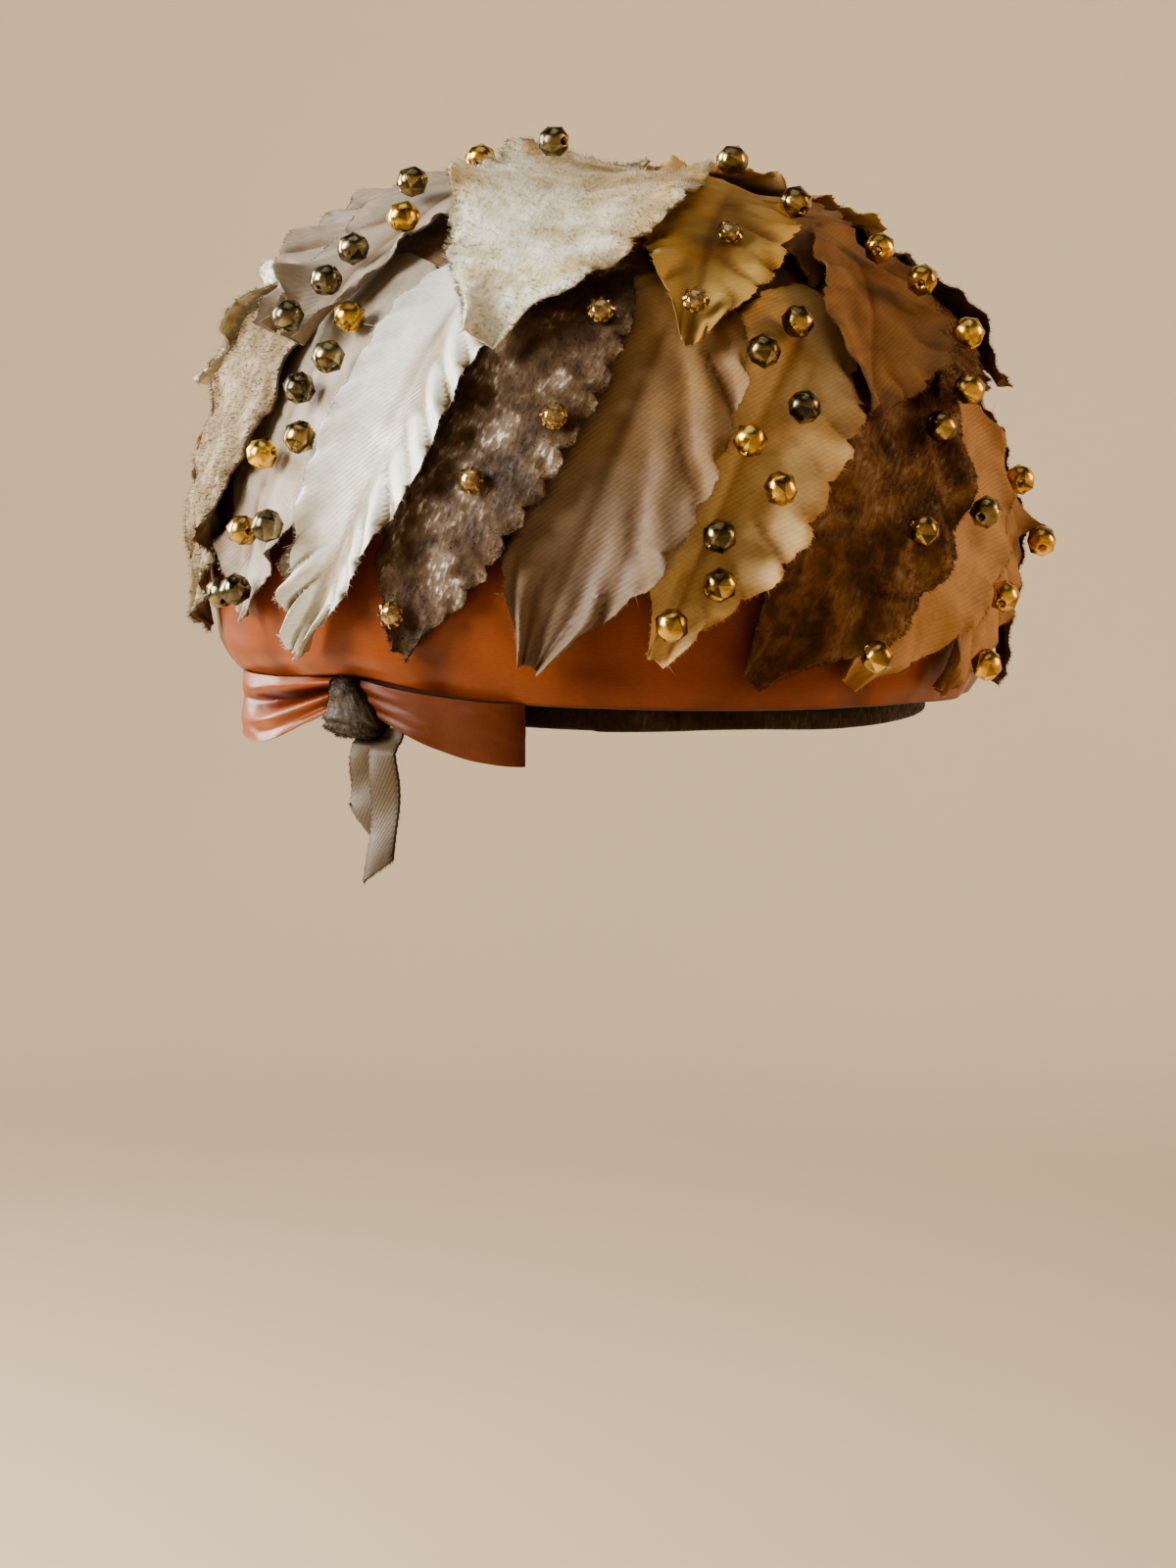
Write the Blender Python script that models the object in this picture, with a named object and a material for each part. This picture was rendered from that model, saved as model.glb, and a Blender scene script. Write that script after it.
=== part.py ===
"""Pillbox hat: a domed crown shingled with cloth leaves, a satin band, a velvet headband and a bow.

Metres, +Z up, the front of the hat towards -Y. The origin is the middle of the head opening, in
the plane of the headband's lower edge. A direction on the crown is a turn, in degrees from the
front towards +X, and a drop, in degrees down from straight up, both seen from the middle of the
crown at its widest level.
"""

import bmesh
import bpy
import numpy as np

# Headband: an upright velvet strip round the head opening
HEADBAND_HALF_WIDTH = 0.088
HEADBAND_HALF_LENGTH = 0.100
HEADBAND_HEIGHT = 0.024
HEADBAND_WALL = 0.002

# Crown: a hollow dome, wider than the headband all round
CROWN_OVERHANG = 0.016
CROWN_MIDDLE = 0.046
CROWN_RISE = 0.090
CROWN_TUCK = 0.076
CROWN_FULLNESS = 2.3
CROWN_WALL = 0.002

# Satin band: wrapped round the lower crown and turned under to the headband
BAND_TOP = 0.052
BAND_EDGE = 0.007
BAND_WALL = 0.0015
BAND_PUFF = 0.0043

# Bow at the front left, under the band's edge
BOW_TURN = -37.0
BOW_ARCH = 0.0035
BOW_ARCH_SPREAD = 13.0
BOW_LENGTH_LEFT = 0.0540
BOW_LENGTH_RIGHT = 0.0468
BOW_HEIGHT = 0.0152
BOW_DEPTH = 0.0095
BOW_STAND_OFF = 0.0035
BOW_WALL = 0.0012
KNOT_WIDTH = 0.0182
KNOT_DEPTH = 0.010
KNOT_HEIGHT = 0.0146
KNOT_FULLNESS = 3.6
KNOT_TUCK = 0.8
TAIL_WIDTH = 0.009
TAIL_WALL = 0.001
TAIL_LENGTH_FRONT = 0.031
TAIL_LENGTH_BACK = 0.021

# Leaves
LEAF_WIDTH = 0.040
LEAF_WALL = 0.001
LEAF_CURL = 0.010

# Beads and claw-set stones
BEAD_DIAMETER = 0.008
BEAD_BORE_FACE = 0.35
THREAD_DIAMETER = 0.001
STONE_DIAMETER = 0.0066
STONE_HEIGHT = 0.0030

# Clearances between pieces
GAP = 0.0004
CLOTH_GAP = 0.0006

# Facets
RING_SEGMENTS = 40
CROWN_LEVELS = 7
KNOT_SEGMENTS = 12
BEAD_SIDES = 10
STONE_SIDES = 8
FINE_STEPS = 12
MAP_CELL = 0.0015

# Cloth and metal: colour, roughness, metallic
FINISHES = {
    "crown_cloth": ((0.20, 0.13, 0.08), 0.9, 0.0),
    "copper_satin": ((0.55, 0.19, 0.07), 0.4, 0.0),
    "olive_velvet": ((0.16, 0.11, 0.06), 0.85, 0.0),
    "ribbon_velvet": ((0.33, 0.24, 0.16), 0.8, 0.0),
    "tan_velvet": ((0.56, 0.45, 0.30), 0.75, 0.0),
    "ivory_velvet": ((0.74, 0.66, 0.48), 0.6, 0.0),
    "taupe_velvet": ((0.20, 0.12, 0.08), 0.7, 0.0),
    "russet_velvet": ((0.27, 0.12, 0.05), 0.75, 0.0),
    "ivory_satin": ((0.78, 0.74, 0.66), 0.4, 0.0),
    "blush_satin": ((0.62, 0.53, 0.47), 0.55, 0.0),
    "mauve_satin": ((0.36, 0.27, 0.22), 0.45, 0.0),
    "olive_satin": ((0.52, 0.41, 0.23), 0.45, 0.0),
    "khaki_satin": ((0.40, 0.30, 0.16), 0.5, 0.0),
    "brown_satin": ((0.34, 0.18, 0.09), 0.6, 0.0),
    "bead_metal": ((0.42, 0.30, 0.12), 0.25, 1.0),
    "topaz_stone": ((0.60, 0.36, 0.08), 0.1, 0.4),
}

# Satin band's outside from top to lower edge: share of its height, share of its puff
BAND_FOLDS = (
    (1.00, 0.00),
    (0.72, 0.10),
    (0.46, 0.25),
    (0.24, 0.50),
    (0.08, 0.95),
    (0.00, 0.90),
)

# One wing of the bow, out along its front and back along its rear:
# share of its length, share of its depth, share of its height
WING_LOOP = (
    (0.00, 0.60, 0.55),
    (0.16, 0.80, 0.66),
    (0.42, 1.00, 0.86),
    (0.70, 1.00, 0.97),
    (0.92, 0.86, 1.00),
    (1.00, 0.60, 1.00),
    (0.94, 0.30, 1.00),
    (0.70, 0.10, 0.95),
    (0.42, 0.04, 0.84),
    (0.16, 0.14, 0.64),
    (0.00, 0.34, 0.55),
)

# Tails: share of the length, sideways and outward in ribbon widths; then the rise of the cut end
# from left to right in ribbon widths
TAIL_FRONT_HANG = ((0.0, 1.00, 0.70), (0.3, 1.11, 0.66), (0.7, 1.14, 0.70), (1.0, 1.09, 0.80))
TAIL_BACK_HANG = ((0.0, 0.02, 0.30), (0.3, -0.06, 0.26), (0.7, -0.08, 0.24), (1.0, 0.00, 0.26))
TAIL_FRONT_SLANT = 0.7
TAIL_BACK_SLANT = -0.9

# Along a leaf, root to tip: share of its length, share of its half width
LEAF_OUTLINE = (
    (0.00, 0.42),
    (0.18, 0.84),
    (0.36, 1.00),
    (0.54, 0.98),
    (0.70, 0.82),
    (0.84, 0.54),
    (0.93, 0.25),
    (1.00, 0.10),
)
LEAF_ACROSS = (-1.0, -0.5, 0.0, 0.5, 1.0)

# Leaves, lowest layer first: cloth, tip turn, tip drop, root turn, root drop (degrees),
# share of the leaf width, sideways bow, depth of the notches, curl of the tip
LOW_LEAVES = (
    ("brown_satin", 182, 106, 210, 64, 1.10, 0.06, 0.10, 0.1),
    ("olive_satin", 161, 105, 189, 64, 1.05, 0.06, 0.10, 0.1),
    ("taupe_velvet", 140, 107, 167, 64, 1.10, 0.06, 0.08, 0.0),
    ("mauve_satin", 119, 104, 146, 64, 1.10, 0.06, 0.12, 0.1),
    ("khaki_satin", 98, 106, 125, 66, 1.05, 0.06, 0.10, 0.1),
    ("russet_velvet", 76, 109, 100, 72, 1.00, 0.06, 0.08, 0.1),
    ("brown_satin", 49, 108, 78, 72, 0.90, 0.06, 0.06, 0.1),
    ("brown_satin", 31, 106, 62, 70, 0.95, 0.06, 0.06, 0.0),
    ("russet_velvet", 17, 105, 50, 64, 1.10, 0.08, 0.06, 0.0),
    ("khaki_satin", 6, 103, 33, 57, 0.90, -0.10, 0.10, 0.0),
    ("mauve_satin", -8, 104, 11, 56, 1.04, 0.00, 0.10, 0.1),
    ("taupe_velvet", -24, 104, -1, 54, 1.02, -0.08, 0.08, 0.0),
    ("blush_satin", -40, 98, -30, 64, 0.60, 0.00, 0.08, 0.0),
    ("blush_satin", -53, 102, -33, 56, 1.22, -0.06, 0.06, 0.0),
    ("ivory_satin", -39, 105, -18, 52, 0.68, 0.22, 0.12, 0.1),
    ("tan_velvet", -80, 106, -52, 57, 1.24, 0.06, 0.06, 0.0),
    ("mauve_satin", -108, 105, -85, 64, 1.00, 0.06, 0.10, 0.1),
    ("olive_satin", -121, 106, -96, 64, 1.05, 0.06, 0.10, 0.1),
    ("taupe_velvet", -139, 105, -113, 64, 1.10, 0.06, 0.08, 0.0),
    ("ivory_satin", -157, 106, -129, 64, 1.05, 0.06, 0.12, 0.1),
)
HIGH_LEAVES = (
    ("brown_satin", 31, 56, 56, 22, 0.92, 0.06, 0.08, 0.0),
    ("russet_velvet", 47, 72, 80, 48, 0.90, 0.06, 0.08, 0.1),
    ("brown_satin", 32, 75, 52, 44, 0.90, 0.06, 0.08, 0.0),
    ("khaki_satin", 142, 76, 172, 34, 1.25, 0.06, 0.08, 0.1),
    ("taupe_velvet", 110, 75, 146, 34, 1.25, 0.06, 0.08, 0.1),
    ("russet_velvet", 79, 69, 118, 34, 1.15, 0.06, 0.08, 0.4),
    ("tan_velvet", -30, 42, -10, 10, 0.85, 0.00, 0.06, 0.0),
    ("olive_satin", 9, 68, 41, 28, 0.88, -0.08, 0.12, 0.1),
    ("mauve_satin", 174, 74, -156, 34, 1.25, 0.06, 0.10, 0.1),
    ("brown_satin", -153, 76, -124, 34, 1.25, 0.06, 0.10, 0.1),
    ("blush_satin", -120, 75, -94, 34, 1.20, 0.06, 0.08, 0.1),
    ("ivory_velvet", -84, 73, -72, 34, 0.95, 0.06, 0.08, 0.3),
    ("blush_satin", -54, 66, -60, 24, 0.90, -0.04, 0.08, 0.0),
    ("blush_satin", -45, 68, -42, 22, 0.80, 0.04, 0.10, 0.1),
    ("ivory_velvet", -15, 69, 20, 16, 1.35, -0.04, 0.08, 0.0),
)
TOP_LEAVES = (
    ("taupe_velvet", 160, 42, -130, 6, 1.20, 0.04, 0.08, 0.0),
    ("khaki_satin", 96, 42, 10, 8, 1.10, 0.04, 0.10, 0.0),
    ("tan_velvet", -118, 44, 60, 4, 1.15, 0.00, 0.08, 0.0),
)

# Beads sewn on in rows: turn and drop of each bead along its thread
BEAD_ROWS = {
    "beads_low_left": (
        (-36, 65), (-43, 66.5), (-35, 71), (-41, 74), (-38, 80), (-45.5, 82), (-39, 90), (-47, 91),
        (-49, 98), (-58, 99.5),
    ),
    "beads_high_left": ((-18, 28.5), (-41, 30), (-34, 51), (-46, 40), (-43, 54.5), (-41, 61)),
    "beads_front": (
        (24, 64), (17, 69.5), (22, 75), (15, 79), (18, 84), (12, 89), (12, 94), (7, 98),
    ),
    "beads_top_right": ((26, 35), (31, 46)),
    "beads_high_right": ((50, 50), (50, 57), (52, 65), (48, 72), (44, 76)),
    "beads_low_right": ((49, 86), (38, 88), (30, 101)),
    "beads_right_side": ((72, 82), (75, 90), (61, 96.5), (54, 104)),
}

# A stone in its setting from the cloth up: share of its radius, share of its height
STONE_PROFILE = ((0.70, 0.00), (1.00, 0.40), (0.96, 0.62), (0.55, 1.00))

# Claw-set stones: turn and drop
STONES = ((-1.5, 64), (-6, 77), (-15, 84), (-24, 99), (19, 49), (10, 63))

crown_half_width = HEADBAND_HALF_WIDTH + CROWN_OVERHANG
crown_half_length = HEADBAND_HALF_LENGTH + CROWN_OVERHANG
crown_centre = np.array((0.0, 0.0, CROWN_MIDDLE))
crown_rim = BAND_EDGE + BAND_WALL + BOW_ARCH + GAP


def direction(turn, drop):
    """Unit vector of a turn and a drop in degrees."""
    turn = np.radians(turn)
    drop = np.radians(drop)
    level = np.sin(drop)
    return np.stack((level * np.sin(turn), -level * np.cos(turn), np.cos(drop)), axis=-1)


def crown_reach(directions):
    """Distance from the crown's centre to its outer surface along unit vectors."""
    level = np.hypot(directions[..., 0] / crown_half_width, directions[..., 1] / crown_half_length)
    up = directions[..., 2]
    rise = np.where(up > 0, up / CROWN_RISE, -up / CROWN_TUCK)
    return (level ** CROWN_FULLNESS + rise ** CROWN_FULLNESS) ** (-1 / CROWN_FULLNESS)


def on_crown(directions, heights):
    """Points at the given heights above the crown's outer surface."""
    reach = crown_reach(directions) + heights
    return crown_centre + directions * reach[..., None]


def crown_share(level):
    """Share of the crown's greatest breadth that it has at a level."""
    rise = level - CROWN_MIDDLE
    share = rise / CROWN_RISE if rise > 0 else -rise / CROWN_TUCK
    return (1 - share ** CROWN_FULLNESS) ** (1 / CROWN_FULLNESS)


def ellipse_ring(half_width, half_length, level):
    """A level ring of points round the hat; the level may change round the ring."""
    turns = np.linspace(0, 2 * np.pi, RING_SEGMENTS, endpoint=False)
    levels = np.broadcast_to(level, turns.shape)
    return np.stack((half_width * np.sin(turns), -half_length * np.cos(turns), levels), axis=-1)


def finish_object(name, mesh, finish):
    """Turn a bmesh into a named object with its own material, faces pointing out."""
    bmesh.ops.recalc_face_normals(mesh, faces=mesh.faces)
    data = bpy.data.meshes.new(name)
    mesh.to_mesh(data)
    mesh.free()
    data.shade_smooth()
    data.set_sharp_from_angle(angle=np.radians(40))
    colour, roughness, metallic = FINISHES[finish]
    material = bpy.data.materials.new(name)
    material.use_nodes = True
    shader = material.node_tree.nodes["Principled BSDF"]
    shader.inputs["Base Color"].default_value = (*colour, 1)
    shader.inputs["Roughness"].default_value = roughness
    shader.inputs["Metallic"].default_value = metallic
    data.materials.append(material)
    piece = bpy.data.objects.new(name, data)
    bpy.context.scene.collection.objects.link(piece)
    return piece


def ring_body(name, rings, finish, closed=False):
    """Bridge a run of equal rings into one body, capped at its ends unless it closes on itself."""
    mesh = bmesh.new()
    loops = [[mesh.verts.new(point) for point in ring] for ring in rings]
    neighbours = list(zip(loops, loops[1:]))
    if closed:
        neighbours.append((loops[-1], loops[0]))
    else:
        mesh.faces.new(loops[0])
        mesh.faces.new(loops[-1])
    for first, second in neighbours:
        for index in range(len(first)):
            mesh.faces.new((first[index - 1], first[index], second[index], second[index - 1]))
    return finish_object(name, mesh, finish)


def sheet_body(name, upper, lower, finish):
    """Close two grids of points, the two faces of a piece of cloth, into one body."""
    mesh = bmesh.new()
    faces = []
    for grid in (upper, lower):
        faces.append([[mesh.verts.new(point) for point in row] for row in grid])
    for grid in faces:
        for row, following in zip(grid, grid[1:]):
            for index in range(1, len(row)):
                mesh.faces.new((row[index - 1], row[index], following[index], following[index - 1]))
    top, bottom = (outline(grid) for grid in faces)
    for index in range(len(top)):
        mesh.faces.new((top[index - 1], top[index], bottom[index], bottom[index - 1]))
    return finish_object(name, mesh, finish)


def outline(grid):
    """The border of a grid of vertices as one loop."""
    right = [row[-1] for row in grid[1:-1]]
    left = [row[0] for row in grid[1:-1]]
    return [*grid[0], *right, *reversed(grid[-1]), *reversed(left)]


def refine(grid, steps):
    """Resample a grid of points with straight lines between its rows and columns."""
    for axis in (0, 1):
        grid = np.moveaxis(grid, axis, 0)
        place = np.linspace(0, len(grid) - 1, (len(grid) - 1) * steps + 1)
        lower = np.minimum(place.astype(int), len(grid) - 2)
        share = (place - lower).reshape((-1,) + (1,) * (grid.ndim - 1))
        grid = np.moveaxis(grid[lower] * (1 - share) + grid[lower + 1] * share, 0, axis)
    return grid


class ClothStack:
    """Height of the topmost cloth above the crown, kept on an equal-area map of directions."""

    def __init__(self):
        span = 2 * crown_half_length
        self.cells = int(2 * span / MAP_CELL)
        self.heights = np.zeros((self.cells + 3, self.cells + 3))

    def place(self, directions):
        """Map cell of each direction."""
        level = np.hypot(directions[..., 0], directions[..., 1])
        radius = np.sqrt(np.maximum(2 - 2 * directions[..., 2], 0)) / np.maximum(level, 1e-9)
        column = (directions[..., 0] * radius / 4 + 0.5) * self.cells
        row = (directions[..., 1] * radius / 4 + 0.5) * self.cells
        return np.rint(row).astype(int) + 1, np.rint(column).astype(int) + 1

    def top(self, directions):
        """Highest cloth in and next to the cell of each direction."""
        row, column = self.place(directions)
        steps = [(down, right) for down in (-1, 0, 1) for right in (-1, 0, 1)]
        return np.max([self.heights[row + down, column + right] for down, right in steps], axis=0)

    def add(self, directions, heights):
        """Lay a surface over the map."""
        np.maximum.at(self.heights, self.place(directions), heights)

    def add_points(self, points):
        """Lay a surface of points in space over the map."""
        arms = points - crown_centre
        reach = np.linalg.norm(arms, axis=-1)
        directions = arms / reach[..., None]
        self.add(directions, reach - crown_reach(directions))


def make_headband():
    """An upright strip whose lower edge is the hat's rim."""
    rings = []
    inside = HEADBAND_WALL
    for inset, level in ((0, 0), (0, HEADBAND_HEIGHT), (inside, HEADBAND_HEIGHT), (inside, 0)):
        rings.append(ellipse_ring(HEADBAND_HALF_WIDTH - inset, HEADBAND_HALF_LENGTH - inset, level))
    ring_body("headband", rings, "olive_velvet", closed=True)


def make_crown():
    """A hollow dome open at the rim: the outer surface from the top down, the inner back up."""
    rim_share = crown_share(crown_rim)
    rim_angle = np.pi - np.arcsin(rim_share ** (CROWN_FULLNESS / 2))
    angles = np.linspace(0, rim_angle, CROWN_LEVELS + 1)[1:]
    rings = []
    for inset, run in ((0, angles), (CROWN_WALL, angles[::-1])):
        for angle in run:
            share = np.sin(angle) ** (2 / CROWN_FULLNESS)
            lift = abs(np.cos(angle)) ** (2 / CROWN_FULLNESS)
            reach = CROWN_RISE - inset if angle < np.pi / 2 else -CROWN_TUCK + inset
            level = max(CROWN_MIDDLE + reach * lift, crown_rim)
            half_width = (crown_half_width - inset) * share
            half_length = (crown_half_length - inset) * share
            rings.append(ellipse_ring(half_width, half_length, level))
    ring_body("crown", rings, "crown_cloth")


def band_ring(height_share, stand_out, raised=0):
    """One ring of the satin band; the low rings arch over the bow's knot."""
    level = BAND_EDGE + height_share * (BAND_TOP - BAND_EDGE)
    share = crown_share(level)
    turns = np.linspace(0, 360, RING_SEGMENTS, endpoint=False)
    away = (turns - BOW_TURN + 180) % 360 - 180
    arch = BOW_ARCH * (1 - height_share) ** 4 * np.exp(-((away / BOW_ARCH_SPREAD) ** 2))
    half_width = crown_half_width * share + stand_out
    half_length = crown_half_length * share + stand_out
    return ellipse_ring(half_width, half_length, level + raised + arch)


def band_outside():
    """The satin band's outer rings from top to lower edge."""
    rings = []
    for height_share, puff in BAND_FOLDS:
        rings.append(band_ring(height_share, GAP + BAND_WALL + puff * BAND_PUFF))
    return rings


def make_satin_band():
    """Outer wall, a ledge in to the headband, and the inner wall beside the crown."""
    ledge = band_ring(0, 0)
    turns = np.linspace(0, 2 * np.pi, RING_SEGMENTS, endpoint=False)
    ledge[:, 0] = (HEADBAND_HALF_WIDTH + GAP) * np.sin(turns)
    ledge[:, 1] = -(HEADBAND_HALF_LENGTH + GAP) * np.cos(turns)
    raised_ledge = ledge + (0, 0, BAND_WALL)
    inside = []
    for height_share, puff in reversed(BAND_FOLDS[:-2]):
        inside.append(band_ring(height_share, GAP + puff * BAND_PUFF))
    corner = band_ring(0, GAP + BAND_FOLDS[-1][1] * BAND_PUFF, BAND_WALL)
    rings = [*band_outside(), ledge, raised_ledge, corner, *inside]
    ring_body("satin_band", rings, "copper_satin", closed=True)


def beside_headband(turn, stand_off, level):
    """Point outside the headband at an ellipse turn in degrees."""
    angle = np.radians(turn)
    half_width = HEADBAND_HALF_WIDTH + stand_off
    half_length = HEADBAND_HALF_LENGTH + stand_off
    return np.array((half_width * np.sin(angle), -half_length * np.cos(angle), level))


def knot_frame():
    """Centre of the knot with its sideways and outward directions."""
    stand_off = BOW_STAND_OFF + BOW_DEPTH / 2
    knot_top = BAND_EDGE + BOW_ARCH * KNOT_TUCK - GAP
    centre = beside_headband(BOW_TURN, stand_off, knot_top - KNOT_HEIGHT / 2)
    ahead = beside_headband(BOW_TURN + 1, stand_off, centre[2])
    sideways = (ahead - centre) / np.linalg.norm(ahead - centre)
    outward = np.cross(sideways, (0, 0, 1))
    return centre, sideways, outward


def make_bow_wing(name, side, length):
    """A loop of satin that leaves the knot, turns back at its end and returns behind itself."""
    start = KNOT_WIDTH / 2 + GAP
    radius = (HEADBAND_HALF_WIDTH + HEADBAND_HALF_LENGTH) / 2 + BOW_STAND_OFF + BOW_DEPTH / 2
    middle = []
    for along, depth, _ in WING_LOOP:
        turn = BOW_TURN + side * np.degrees((start + along * (length - KNOT_WIDTH / 2)) / radius)
        middle.append(beside_headband(turn, BOW_STAND_OFF + depth * BOW_DEPTH, 0))
    middle = np.array(middle)
    course = np.gradient(middle, axis=0)
    across = np.cross(course, (0, 0, 1))
    across /= np.linalg.norm(across, axis=1)[:, None]
    upper_edge = BAND_EDGE - GAP
    rings = []
    for point, normal, (_, _, height) in zip(middle, across, WING_LOOP):
        near = point - normal * BOW_WALL / 2
        far = point + normal * BOW_WALL / 2
        half = height * BOW_HEIGHT / 2
        levels = (upper_edge - 2 * half, upper_edge - half, upper_edge)
        loop = [near + (0, 0, level) for level in levels]
        loop += [far + (0, 0, level) for level in reversed(levels)]
        rings.append(loop)
    ring_body(name, rings, "copper_satin")


def make_knot():
    """The velvet wrap round the middle of the bow, a full rounded block."""
    centre, sideways, outward = knot_frame()
    turns = np.linspace(0, 2 * np.pi, KNOT_SEGMENTS, endpoint=False)
    rings = []
    for tilt in np.radians((-72, -48, -20, 20, 48, 72)):
        share = np.cos(tilt) ** (2 / KNOT_FULLNESS)
        lift = np.sign(tilt) * abs(np.sin(tilt)) ** (2 / KNOT_FULLNESS) * KNOT_HEIGHT / 2
        cosine = np.cos(turns)[:, None]
        sine = np.sin(turns)[:, None]
        wide = np.sign(cosine) * abs(cosine) ** (2 / KNOT_FULLNESS) * KNOT_WIDTH / 2 * share
        deep = np.sign(sine) * abs(sine) ** (2 / KNOT_FULLNESS) * KNOT_DEPTH / 2 * share
        rings.append(centre + wide * sideways + deep * outward + (0, 0, lift))
    ring_body("bow_knot", rings, "olive_velvet")


def make_tail(name, length, hang, slant):
    """A flat ribbon end hanging from under the knot, cut off at a slant."""
    centre, sideways, outward = knot_frame()
    top = centre[2] - KNOT_HEIGHT / 2 - GAP
    across = np.array((-0.5, 0.0, 0.5))[:, None] * TAIL_WIDTH * sideways
    front = []
    for drop, shift, out in hang:
        point = np.array((centre[0], centre[1], top - drop * length))
        point = point + shift * TAIL_WIDTH * sideways + (out - 0.5) * TAIL_WIDTH * outward
        row = point + across
        if drop == 1:
            row[:, 2] += np.array((-0.5, 0.0, 0.5)) * slant * TAIL_WIDTH
        front.append(row)
    front = np.array(front)
    sheet_body(name, front, front - TAIL_WALL * outward, "ribbon_velvet")


def leaf_directions(leaf):
    """Directions of a leaf's grid: stations from root to tip along an arc, and offsets across."""
    _, tip_turn, tip_drop, root_turn, root_drop, width, bow, notch, _ = leaf
    root = direction(root_turn, root_drop)
    tip = direction(tip_turn, tip_drop)
    side = np.cross(root, tip)
    side /= np.linalg.norm(side)
    along = np.cross(side, root)
    sweep = np.arccos(root @ tip)
    stations = np.array([row[0] for row in LEAF_OUTLINE])
    half = np.array([row[1] for row in LEAF_OUTLINE])
    notches = 1 - notch * (np.arange(len(stations)) % 2)
    angles = (stations * sweep)[:, None]
    midline = np.cos(angles) * root + np.sin(angles) * along
    half_angle = width * LEAF_WIDTH / 2 / crown_half_width
    offset = bow * half_angle * 2 * np.sin(np.pi * stations)
    lateral = offset[:, None] + (half * notches)[:, None] * half_angle * np.array(LEAF_ACROSS)
    return np.cos(lateral)[..., None] * midline[:, None] + np.sin(lateral)[..., None] * side


def make_leaf(name, leaf, stack):
    """A cloth leaf laid over whatever is under it already."""
    directions = leaf_directions(leaf)
    fine = refine(directions, FINE_STEPS)
    fine /= np.linalg.norm(fine, axis=-1)[..., None]
    padded = np.pad(stack.top(fine), FINE_STEPS, mode="edge")
    window = (2 * FINE_STEPS + 1, 2 * FINE_STEPS + 1)
    windows = np.lib.stride_tricks.sliding_window_view(padded, window)
    heights = windows[::FINE_STEPS, ::FINE_STEPS].max(axis=(2, 3)) + CLOTH_GAP
    stations = np.array([row[0] for row in LEAF_OUTLINE])
    heights += (leaf[-1] * LEAF_CURL * stations ** 4)[:, None]
    upper = heights + LEAF_WALL
    sheet_body(name, on_crown(directions, upper), on_crown(directions, heights), leaf[0])
    stack.add(fine, refine(upper[..., None], FINE_STEPS)[..., 0])


def resting_height(stack, centre, radius):
    """Height at which something of a given radius clears the cloth round a direction."""
    turns = np.radians(np.arange(0, 360, 30))
    side = np.cross(centre, (0, 0, 1))
    side /= np.linalg.norm(side)
    other = np.cross(centre, side)
    spread = [centre]
    for share in (0.5, 1.0):
        angle = share * radius / crown_half_width
        ring = np.cos(turns)[:, None] * side + np.sin(turns)[:, None] * other
        spread.extend(np.cos(angle) * centre + np.sin(angle) * ring)
    return stack.top(np.array(spread)).max() + GAP


def make_bead_row(name, places, stack):
    """Faceted beads on one thread: the tube swells from the thread to each bead and back."""
    bead = BEAD_DIAMETER / 2
    thread = THREAD_DIAMETER / 2
    arms = [direction(turn, drop) for turn, drop in places]
    centres = []
    for arm in arms:
        centres.append(on_crown(arm, resting_height(stack, arm, bead) + bead))
    centres = np.array(centres)
    courses = np.gradient(centres, axis=0)
    angles = np.linspace(0, 2 * np.pi, BEAD_SIDES, endpoint=False)[:, None]
    rings = []
    for centre, arm, course in zip(centres, arms, courses):
        course = course / np.linalg.norm(course)
        side = np.cross(course, arm)
        side /= np.linalg.norm(side)
        circle = np.cos(angles) * side + np.sin(angles) * np.cross(side, course)
        for along, radius in ((-1, thread), (-BEAD_BORE_FACE, bead), (BEAD_BORE_FACE, bead), (1, thread)):
            rings.append(centre + along * bead * course + radius * circle)
    ring_body(name, rings, "bead_metal")


def make_stone(name, place, stack):
    """A claw setting and its stone in one: a flared cup, a girdle, eight facets and a table."""
    arm = direction(*place)
    radius = STONE_DIAMETER / 2
    base = on_crown(arm, resting_height(stack, arm, radius))
    side = np.cross(arm, (0, 0, 1))
    side /= np.linalg.norm(side)
    angles = np.linspace(0, 2 * np.pi, STONE_SIDES, endpoint=False)[:, None]
    circle = np.cos(angles) * side + np.sin(angles) * np.cross(side, arm)
    rings = []
    for width, lift in STONE_PROFILE:
        rings.append(base + width * radius * circle + lift * STONE_HEIGHT * arm)
    ring_body(name, rings, "topaz_stone")


def build():
    """Make the hat from the rim up, each leaf over the ones before it."""
    for old in list(bpy.data.objects):
        bpy.data.objects.remove(old)
    make_headband()
    make_crown()
    make_satin_band()
    make_bow_wing("bow_wing_left", -1, BOW_LENGTH_LEFT)
    make_bow_wing("bow_wing_right", 1, BOW_LENGTH_RIGHT)
    make_knot()
    make_tail("tail_front", TAIL_LENGTH_FRONT, TAIL_FRONT_HANG, TAIL_FRONT_SLANT)
    make_tail("tail_back", TAIL_LENGTH_BACK, TAIL_BACK_HANG, TAIL_BACK_SLANT)
    stack = ClothStack()
    outside = np.array(band_outside())
    outside = np.concatenate((outside, outside[:, :1]), axis=1)
    stack.add_points(refine(outside, FINE_STEPS))
    for prefix, leaves in (("low", LOW_LEAVES), ("high", HIGH_LEAVES), ("top", TOP_LEAVES)):
        for number, leaf in enumerate(leaves, 1):
            make_leaf(f"leaf_{prefix}_{number:02d}", leaf, stack)
    for name, places in BEAD_ROWS.items():
        make_bead_row(name, places, stack)
    for number, place in enumerate(STONES, 1):
        make_stone(f"stone_{number}", place, stack)


build()
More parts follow.
